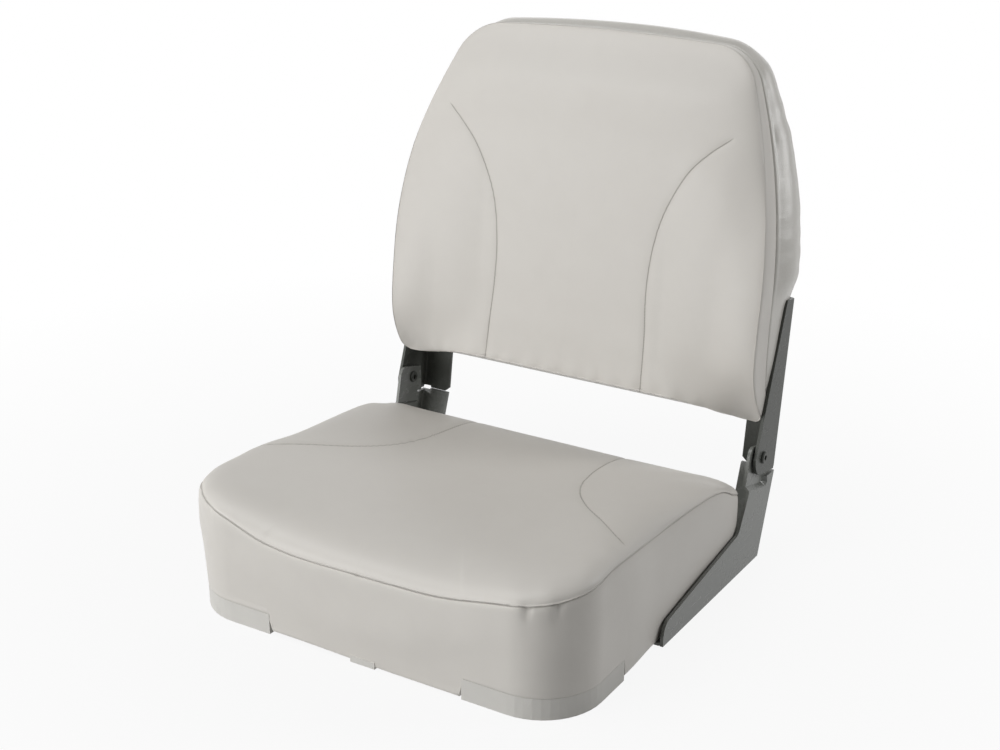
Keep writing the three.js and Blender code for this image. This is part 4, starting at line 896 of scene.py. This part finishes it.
def new_group(name, inputs, outputs):
    """A node group with number inputs and outputs, and its input and output nodes."""
    tree = bpy.data.node_groups.new(name, "ShaderNodeTree")
    for title, kind, value in inputs:
        made = tree.interface.new_socket(name=title, in_out="INPUT", socket_type=kind)
        if value is not None:
            made.default_value = value
    for title, kind in outputs:
        tree.interface.new_socket(name=title, in_out="OUTPUT", socket_type=kind)
    return tree, tree.nodes.new("NodeGroupInput"), tree.nodes.new("NodeGroupOutput")


def feed(tree, socket, value):
    """Links an input to a socket, or sets it to a value."""
    if isinstance(value, bpy.types.NodeSocket):
        tree.links.new(value, socket)
    else:
        socket.default_value = value


def node_of(tree, kind, inputs, **settings):
    """A new node with these settings, its inputs fed by name or number."""
    node = tree.nodes.new("ShaderNode" + kind)
    for name, value in settings.items():
        setattr(node, name, value)
    for title, value in inputs.items():
        feed(tree, node.inputs[title], value)
    return node


def maths(tree, operation, *values, clamp=False):
    """A Math node's result: each value is a number or a socket."""
    return node_of(tree, "Math", dict(enumerate(values)), operation=operation, use_clamp=clamp).outputs[0]


def noise_at(tree, vector, scale, detail=2.0, rough=0.5):
    """A Noise Texture's value: the scale is a number or a socket."""
    inputs = {"Vector": vector, "Scale": scale, "Detail": detail, "Roughness": rough}
    return node_of(tree, "TexNoise", inputs).outputs["Fac"]


def leather_grain_group():
    """Pebbled grain: cells with soft valleys between them, over a fine noise."""
    tree, inp, out = new_group(
        "leather_grain",
        [("Vector", VECTOR, None), ("Cells", NUMBER, 900.0), ("Pebble", NUMBER, 1.0)],
        [("Height", NUMBER), ("Valley", NUMBER)],
    )
    place = inp.outputs["Vector"]
    warp = node_of(tree, "TexNoise", {"Scale": 260.0, "Vector": place}).outputs["Color"]
    pushed = {0: warp, 1: (0.0012, 0.0012, 0.0012), 2: place}
    push = node_of(tree, "VectorMath", pushed, operation="MULTIPLY_ADD").outputs[0]
    cells = node_of(tree, "TexVoronoi", {"Vector": push, "Scale": inp.outputs["Cells"]}, feature="DISTANCE_TO_EDGE")
    wall = maths(tree, "SMOOTH_MIN", maths(tree, "MULTIPLY", cells.outputs["Distance"], 3.2), 0.8, 0.4)
    fine = noise_at(tree, place, 2600.0, 3.0, 0.6)
    height = maths(tree, "MULTIPLY_ADD", wall, inp.outputs["Pebble"], maths(tree, "MULTIPLY", fine, 0.25))
    feed(tree, out.inputs["Height"], height)
    feed(tree, out.inputs["Valley"], maths(tree, "SUBTRACT", 1.0, wall, clamp=True))
    return tree


def sewn_seam_group():
    """The crease of a seam from the signed distance to it, with a stitch dimple every few millimetres beside it, and
    a falloff from the seam that the vinyl uses as painted shade.
    """
    tree, inp, out = new_group(
        "sewn_seam",
        [("Gap", NUMBER, 50.0), ("Run", NUMBER, 0.0), ("Width", NUMBER, 0.7), ("Stitch", NUMBER, 4.2)],
        [("Crease", NUMBER), ("Height", NUMBER), ("SeamShade", NUMBER)],
    )
    gap = maths(tree, "ABSOLUTE", inp.outputs["Gap"])
    near = maths(tree, "DIVIDE", gap, inp.outputs["Width"])
    crease = maths(tree, "EXPONENT", maths(tree, "MULTIPLY", maths(tree, "MULTIPLY", near, near), -1.0))
    turns = maths(tree, "MULTIPLY", inp.outputs["Run"], 6.2832)
    beat = maths(tree, "SINE", maths(tree, "DIVIDE", turns, inp.outputs["Stitch"]))
    pull = maths(tree, "EXPONENT", maths(tree, "MULTIPLY", gap, -0.7))
    ripple = maths(tree, "MULTIPLY", maths(tree, "MULTIPLY", beat, pull), 0.16)
    feed(tree, out.inputs["Crease"], crease)
    feed(tree, out.inputs["Height"], maths(tree, "SUBTRACT", ripple, crease))
    # Third output: a falloff from the seam, which the vinyl paints as shade beside the seam
    feed(tree, out.inputs["SeamShade"], maths(tree, "EXPONENT", maths(tree, "MULTIPLY", gap, -0.45)))
    return tree


def mottle_group():
    """Slow change of tone over a surface: two noises of different size, as a factor about 0.5."""
    tree, inp, out = new_group(
        "mottle",
        [("Vector", VECTOR, None), ("Scale", NUMBER, 9.0), ("Contrast", NUMBER, 1.0)],
        [("Tone", NUMBER)],
    )
    place, scale, contrast = inp.outputs["Vector"], inp.outputs["Scale"], inp.outputs["Contrast"]
    slow = noise_at(tree, place, scale, 3.0, 0.55)
    fast = noise_at(tree, place, maths(tree, "MULTIPLY", scale, 7.0), 2.0, 0.5)
    both = maths(tree, "MULTIPLY_ADD", fast, 0.35, maths(tree, "MULTIPLY", slow, 0.65))
    tone = maths(tree, "MULTIPLY_ADD", maths(tree, "SUBTRACT", both, 0.5), contrast, 0.5, clamp=True)
    feed(tree, out.inputs["Tone"], tone)
    return tree


GRAIN = leather_grain_group()
SEWN = sewn_seam_group()
MOTTLE = mottle_group()


# Materials


def linear(hexed):
    """A colour written as #rrggbb, as linear numbers."""
    c = [int(hexed[k:k + 2], 16) / 255 for k in (1, 3, 5)]
    return tuple(v / 12.92 if v <= 0.04045 else ((v + 0.055) / 1.055) ** 2.4 for v in c) + (1.0,)


class Finish:
    """A material with a Principled shader, and short ways to add nodes to it."""

    def __init__(self, name, roughness=0.5, metallic=0.0, **sockets):
        self.material = bpy.data.materials.new(name)
        self.material.use_nodes = True
        self.tree = self.material.node_tree
        self.shader = self.tree.nodes["Principled BSDF"]
        self.shader.inputs["Roughness"].default_value = roughness
        self.shader.inputs["Metallic"].default_value = metallic
        for title, value in sockets.items():
            self.shader.inputs[title.replace("_", " ")].default_value = value
        self.place = self.tree.nodes.new("ShaderNodeTexCoord").outputs["Object"]

    def group(self, tree, **values):
        """A node group's outputs: each input named is a number or a socket."""
        return node_of(self.tree, "Group", values, node_tree=tree).outputs

    def field(self, name):
        """A number stored at the vertices."""
        return node_of(self.tree, "Attribute", {}, attribute_name=name).outputs["Fac"]

    def tone(self, scale, contrast):
        """The slow mottling of a surface, about 0.5."""
        return self.group(MOTTLE, Vector=self.place, Scale=scale, Contrast=contrast)["Tone"]

    def noise(self, scale, detail, rough, stretch=None, turn=0.0):
        """Noise over the surface, stretched by a scale for each axis after a turn about X in degrees."""
        vector = self.place
        if stretch:
            mapped = {"Vector": vector, "Scale": stretch, "Rotation": (math.radians(turn), 0, 0)}
            vector = node_of(self.tree, "Mapping", mapped).outputs["Vector"]
        return noise_at(self.tree, vector, scale, detail, rough)

    def times(self, a, b):
        """a * b, each a number or a socket."""
        return maths(self.tree, "MULTIPLY", a, b)

    def mix(self, factor, a, b):
        """Colour a where the factor is 0 and b where it is 1; each is a hex colour or a socket."""
        node = node_of(self.tree, "Mix", {"Factor": factor}, data_type="RGBA")
        for title, value in (("A", a), ("B", b)):
            socket = next(s for s in node.inputs if s.name == title and s.type == "RGBA")
            feed(self.tree, socket, linear(value) if isinstance(value, str) else value)
        return next(s for s in node.outputs if s.type == "RGBA")

    def colour(self, socket):
        """Drives the base colour."""
        feed(self.tree, self.shader.inputs["Base Color"], socket)

    def rough(self, a, ka, b, kb, base):
        """Roughness as base + ka*a + kb*b."""
        first = maths(self.tree, "MULTIPLY_ADD", a, ka, base)
        both = maths(self.tree, "MULTIPLY_ADD", b, kb, first, clamp=True)
        feed(self.tree, self.shader.inputs["Roughness"], both)

    def bump(self, *layers):
        """Bump nodes in a chain: each layer is a height socket and its depth in millimetres."""
        chain = {}
        for height, depth in layers:
            inputs = {"Strength": 1.0, "Distance": depth * MM, "Height": height, **chain}
            chain = {"Normal": node_of(self.tree, "Bump", inputs).outputs["Normal"]}
        feed(self.tree, self.shader.inputs["Normal"], chain["Normal"])


def smooth_vinyl():
    """Satin marine vinyl of a warm off-white, finely grained and creased at its seams, with painted shade darkening
    each seam's crease and the vinyl beside it.
    """
    f = Finish("smooth_vinyl", roughness=0.42, Specular_IOR_Level=0.45)
    grain = f.group(GRAIN, Vector=f.place, Cells=1500.0, Pebble=0.6)
    tone = f.tone(7.0, 1.0)
    edge = f.group(SEWN, Gap=f.field("edge_gap"), Run=f.field("edge_run"), Width=0.4, Stitch=4.4)
    wing = f.group(SEWN, Gap=f.field("wing_gap"), Run=f.field("wing_run"), Width=0.55, Stitch=4.4)
    on = f.field("wing_on")
    crease = maths(f.tree, "MAXIMUM", f.times(edge["Crease"], 0.7), f.times(wing["Crease"], on))
    seam_shade = maths(f.tree, "MAXIMUM", edge["SeamShade"], f.times(wing["SeamShade"], on))
    height = maths(f.tree, "ADD", edge["Height"], f.times(wing["Height"], on))
    skin = f.mix(tone, "#cfcbc5", "#d8d5cf")
    # Painted shade: close to the seams the vinyl darkens towards #b5b0a8, as if in the shade of the sunk valley
    seam_shaded = f.mix(f.times(seam_shade, 0.18), skin, "#b5b0a8")
    # Painted shade: the seam crease line is darkened towards #8a867f
    f.colour(f.mix(f.times(crease, 0.62), seam_shaded, "#8a867f"))
    f.rough(tone, 0.1, grain["Valley"], 0.08, 0.36)
    f.bump((grain["Height"], 0.03), (height, 0.34))
    return f.material


def grained_vinyl():
    """The wrap's vinyl: the same white with a coarser grain, stretched fine wrinkles and a slight sheen."""
    f = Finish("grained_vinyl", roughness=0.3, Specular_IOR_Level=0.7)
    grain = f.group(GRAIN, Vector=f.place, Cells=780.0, Pebble=1.0)
    tone = f.tone(11.0, 1.2)
    wrinkle = f.noise(190.0, 3.0, 0.6, stretch=(0.18, 0.18, 1.0))
    skin = f.mix(tone, "#cbc8c2", "#d5d3cd")
    f.colour(f.mix(f.times(grain["Valley"], 0.22), skin, "#aeaaa2"))
    f.rough(tone, 0.08, grain["Valley"], 0.08, 0.22)
    f.bump((wrinkle, 0.25), (grain["Height"], 0.05))
    return f.material


def moulded_plastic():
    """Moulded polyethylene, white and slightly cool, with faint flow marks and a fine spark-eroded texture."""
    f = Finish("moulded_plastic", roughness=0.5, Specular_IOR_Level=0.4)
    tone = f.tone(18.0, 1.1)
    fine = f.noise(2400.0, 2.0, 0.6)
    flow = f.noise(60.0, 4.0, 0.6)
    skin = f.mix(tone, "#cccac5", "#d7d5d0")
    f.colour(f.mix(f.times(flow, 0.18), skin, "#c0bfbb"))
    f.rough(tone, 0.14, fine, 0.12, 0.4)
    f.bump((flow, 0.08), (fine, 0.03))
    return f.material


def painted_steel(name, low, high, scuffs, shine):
    """Grey baked paint over pressed sheet: orange peel, faint mottling and fine scuffs."""
    f = Finish(name, roughness=0.3, Specular_IOR_Level=shine)
    tone = f.tone(22.0, 1.4)
    peel = f.noise(520.0, 2.0, 0.5)
    scuff = f.noise(420.0, 4.0, 0.7, stretch=(1.0, 0.08, 1.0), turn=50)
    scuffed = maths(f.tree, "MULTIPLY", maths(f.tree, "SUBTRACT", scuff, 0.6, clamp=True), 1.6, clamp=True)
    f.colour(f.mix(scuffed, f.mix(tone, low, high), scuffs))
    f.rough(tone, 0.1, scuffed, 0.2, 0.22)
    f.bump((peel, 0.012), (scuffed, 0.004))
    return f.material


def plated(name, low, high, roughness, cells):
    """Bright plated or turned metal: blotchy plating, fine turning marks."""
    f = Finish(name, roughness=roughness, metallic=1.0)
    tone = f.tone(cells, 1.6)
    fine = f.noise(3200.0, 2.0, 0.6)
    f.colour(f.mix(tone, low, high))
    f.rough(tone, 0.2, fine, 0.1, roughness - 0.12)
    f.bump((fine, 0.02))
    return f.material


def nylon_bush():
    """Natural nylon: milky, slightly waxy."""
    f = Finish("nylon", roughness=0.45, Subsurface_Weight=0.15)
    tone = f.tone(60.0, 1.0)
    fine = f.noise(1800.0, 2.0, 0.5)
    f.colour(f.mix(tone, "#dcd9cf", "#ebe8df"))
    f.rough(tone, 0.1, fine, 0.1, 0.38)
    f.bump((fine, 0.03))
    return f.material


SMOOTH_VINYL = smooth_vinyl()
GRAINED_VINYL = grained_vinyl()
PLASTIC = moulded_plastic()
STEEL = painted_steel("painted_steel", "#6e706c", "#797b77", "#8a8c88", 0.36)
# Painted shade: the upper brackets and pivot rivets take a darker, less shiny copy of the same grey paint, standing
# in for the darker reflections they show
SHADED_UPPER_STEEL = painted_steel("painted_steel_upper_shaded", "#50524e", "#5a5c58", "#70726e", 0.12)
ZINC = plated("zinc", "#8d9091", "#b9bcbd", 0.34, 90.0)
BRASS = plated("brass", "#9c7d46", "#c4a268", 0.32, 120.0)
NYLON = nylon_bush()


# Pieces on their bodies


def dressed(node, material, edge=0.0):
    """Gives a carried-over node its material, and softens its edges with live modifiers."""
    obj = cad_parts[node]
    obj.data.materials.clear()
    obj.data.materials.append(material)
    if edge:
        weld = obj.modifiers.new("weld", "WELD")
        weld.merge_threshold = 0.00002
        bevel = obj.modifiers.new("edge", "BEVEL")
        bevel.width = edge * MM
        bevel.segments = 2
        bevel.limit_method = "ANGLE"
        bevel.angle_limit = math.radians(38)
        bevel.use_clamp_overlap = True
        bevel.harden_normals = False
    return obj


seat = seat_cushion()
seat.data.materials.append(SMOOTH_VINYL)
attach(seat, "seat")
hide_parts("seat_cover", "seat_foam")

back = backrest_cushion()
back.data.materials.append(SMOOTH_VINYL)
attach(back, "backrest")
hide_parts("backrest_front_cover", "backrest_foam")

wrap = backrest_wrap()
wrap.data.materials.append(GRAINED_VINYL)
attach(wrap, "backrest")
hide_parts("backrest_rear_cover", "backrest_shell")

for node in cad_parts:
    if node.startswith("lower_bracket"):
        dressed(node, STEEL, 0.35)
    # Upper brackets and rivets get the shaded copy of the bracket paint
    elif node.startswith(("upper_bracket", "pivot_rivet")):
        dressed(node, SHADED_UPPER_STEEL, 0.35 if node.startswith("upper") else 0.15)
    elif node.startswith(("pan_screw", "back_screw")):
        dressed(node, ZINC, 0.15)
    elif node.startswith("pan_insert"):
        dressed(node, BRASS, 0.15)
    elif node.startswith("pivot_bush"):
        dressed(node, NYLON)
    elif node == "seat_pan":
        dressed(node, PLASTIC, 0.6)


# Studio


def white_to_camera(tree, shader_out, amount):
    """Mixes a shader with plain white light where the camera, a reflection or a refraction looks at it."""
    path = tree.nodes.new("ShaderNodeLightPath").outputs
    seen = maths(tree, "MAXIMUM", path["Is Camera Ray"], path["Is Glossy Ray"])
    seen = maths(tree, "MAXIMUM", seen, path["Is Transmission Ray"])
    kind = "Background" if shader_out.node.type == "BACKGROUND" else "Emission"
    glow = node_of(tree, kind, {"Color": (1, 1, 1, 1), "Strength": 1.0}).outputs[0]
    return node_of(tree, "MixShader", {0: maths(tree, "MULTIPLY", seen, amount), 1: shader_out, 2: glow}).outputs[0]


def studio_floor():
    """A wide plain disc under the seat: rings round a middle point, and more white to the camera further out."""
    count, radii, drop = 96, (300, 900, 2500, 7000), -0.05
    a = np.arange(count) * 2 * np.pi / count
    rings = [np.column_stack([r * np.cos(a), r * np.sin(a), np.full(count, drop)]) for r in radii]
    quads, fans = ring_faces(len(radii), count)
    floor = mesh_object("floor", np.concatenate(rings + [[[0, 0, drop]]]), quads, fans[:count])
    f = Finish("pale_floor", roughness=0.8)
    f.colour(f.mix(f.tone(1.5, 0.3), "#b6b6b6", "#c0c0c0"))
    away = node_of(f.tree, "VectorMath", {0: f.place}, operation="LENGTH").outputs["Value"]
    share = maths(f.tree, "MULTIPLY_ADD", away, 0.12, 0.88, clamp=True)
    surface = f.tree.nodes["Material Output"].inputs["Surface"]
    feed(f.tree, surface, white_to_camera(f.tree, f.shader.outputs[0], share))
    floor.data.materials.append(f.material)


def direction_at(azimuth, elevation):
    """Unit vector from the seat, for angles in degrees: azimuth 0 is ahead of the seat, 90 on its +X side."""
    a, e = math.radians(azimuth), math.radians(elevation)
    return Vector((math.sin(a) * math.cos(e), -math.cos(a) * math.cos(e), math.sin(e)))


def placed_facing(name, data, place, back_to):
    """A new lamp or camera at a place, looking against a direction."""
    obj = bpy.data.objects.new(name, data)
    obj.location = place
    obj.rotation_mode = "QUATERNION"
    obj.rotation_quaternion = (-back_to).to_track_quat("-Z", "Y")
    bpy.context.scene.collection.objects.link(obj)
    return obj


def soft_light(name, azimuth, elevation, distance, width, height, power):
    """A rectangular lamp on a sphere round the middle of the seat, facing it."""
    back_to = direction_at(azimuth, elevation)
    lamp = bpy.data.lights.new(name, "AREA")
    lamp.shape = "RECTANGLE"
    lamp.size, lamp.size_y = width, height
    lamp.energy = power
    placed_facing(name, lamp, Vector(LAMP_AIM) + back_to * distance, back_to)


studio_floor()
soft_light("key_light", -35, 55, 2.2, 1.3, 1.3, 24.5)
soft_light("front_light", -28, 4, 2.2, 1.2, 0.8, 21.5)
soft_light("rim_light", 119, 20, 2.0, 0.42, 1.0, 12)
soft_light("rear_light", 200, 35, 2.2, 1.4, 0.8, 5)

world = bpy.data.worlds.new("studio")
world.use_nodes = True
bpy.context.scene.world = world
sky = world.node_tree.nodes["Background"]
sky.inputs["Color"].default_value = (1, 1, 1, 1)
sky.inputs["Strength"].default_value = 0.09
surface = world.node_tree.nodes["World Output"].inputs["Surface"]
feed(world.node_tree, surface, white_to_camera(world.node_tree, sky.outputs[0], 1.0))

camera = bpy.data.cameras.new("camera")
camera.sensor_width = SENSOR_WIDTH
camera.lens = FOCAL_SHARE * SENSOR_WIDTH
camera.clip_start, camera.clip_end = 0.05, 60
bpy.context.scene.camera = placed_facing(
    "camera", camera, CAMERA_PLACE, direction_at(CAMERA_AZIMUTH, CAMERA_ELEVATION)
)

bpy.context.scene.view_settings.view_transform = "Standard"
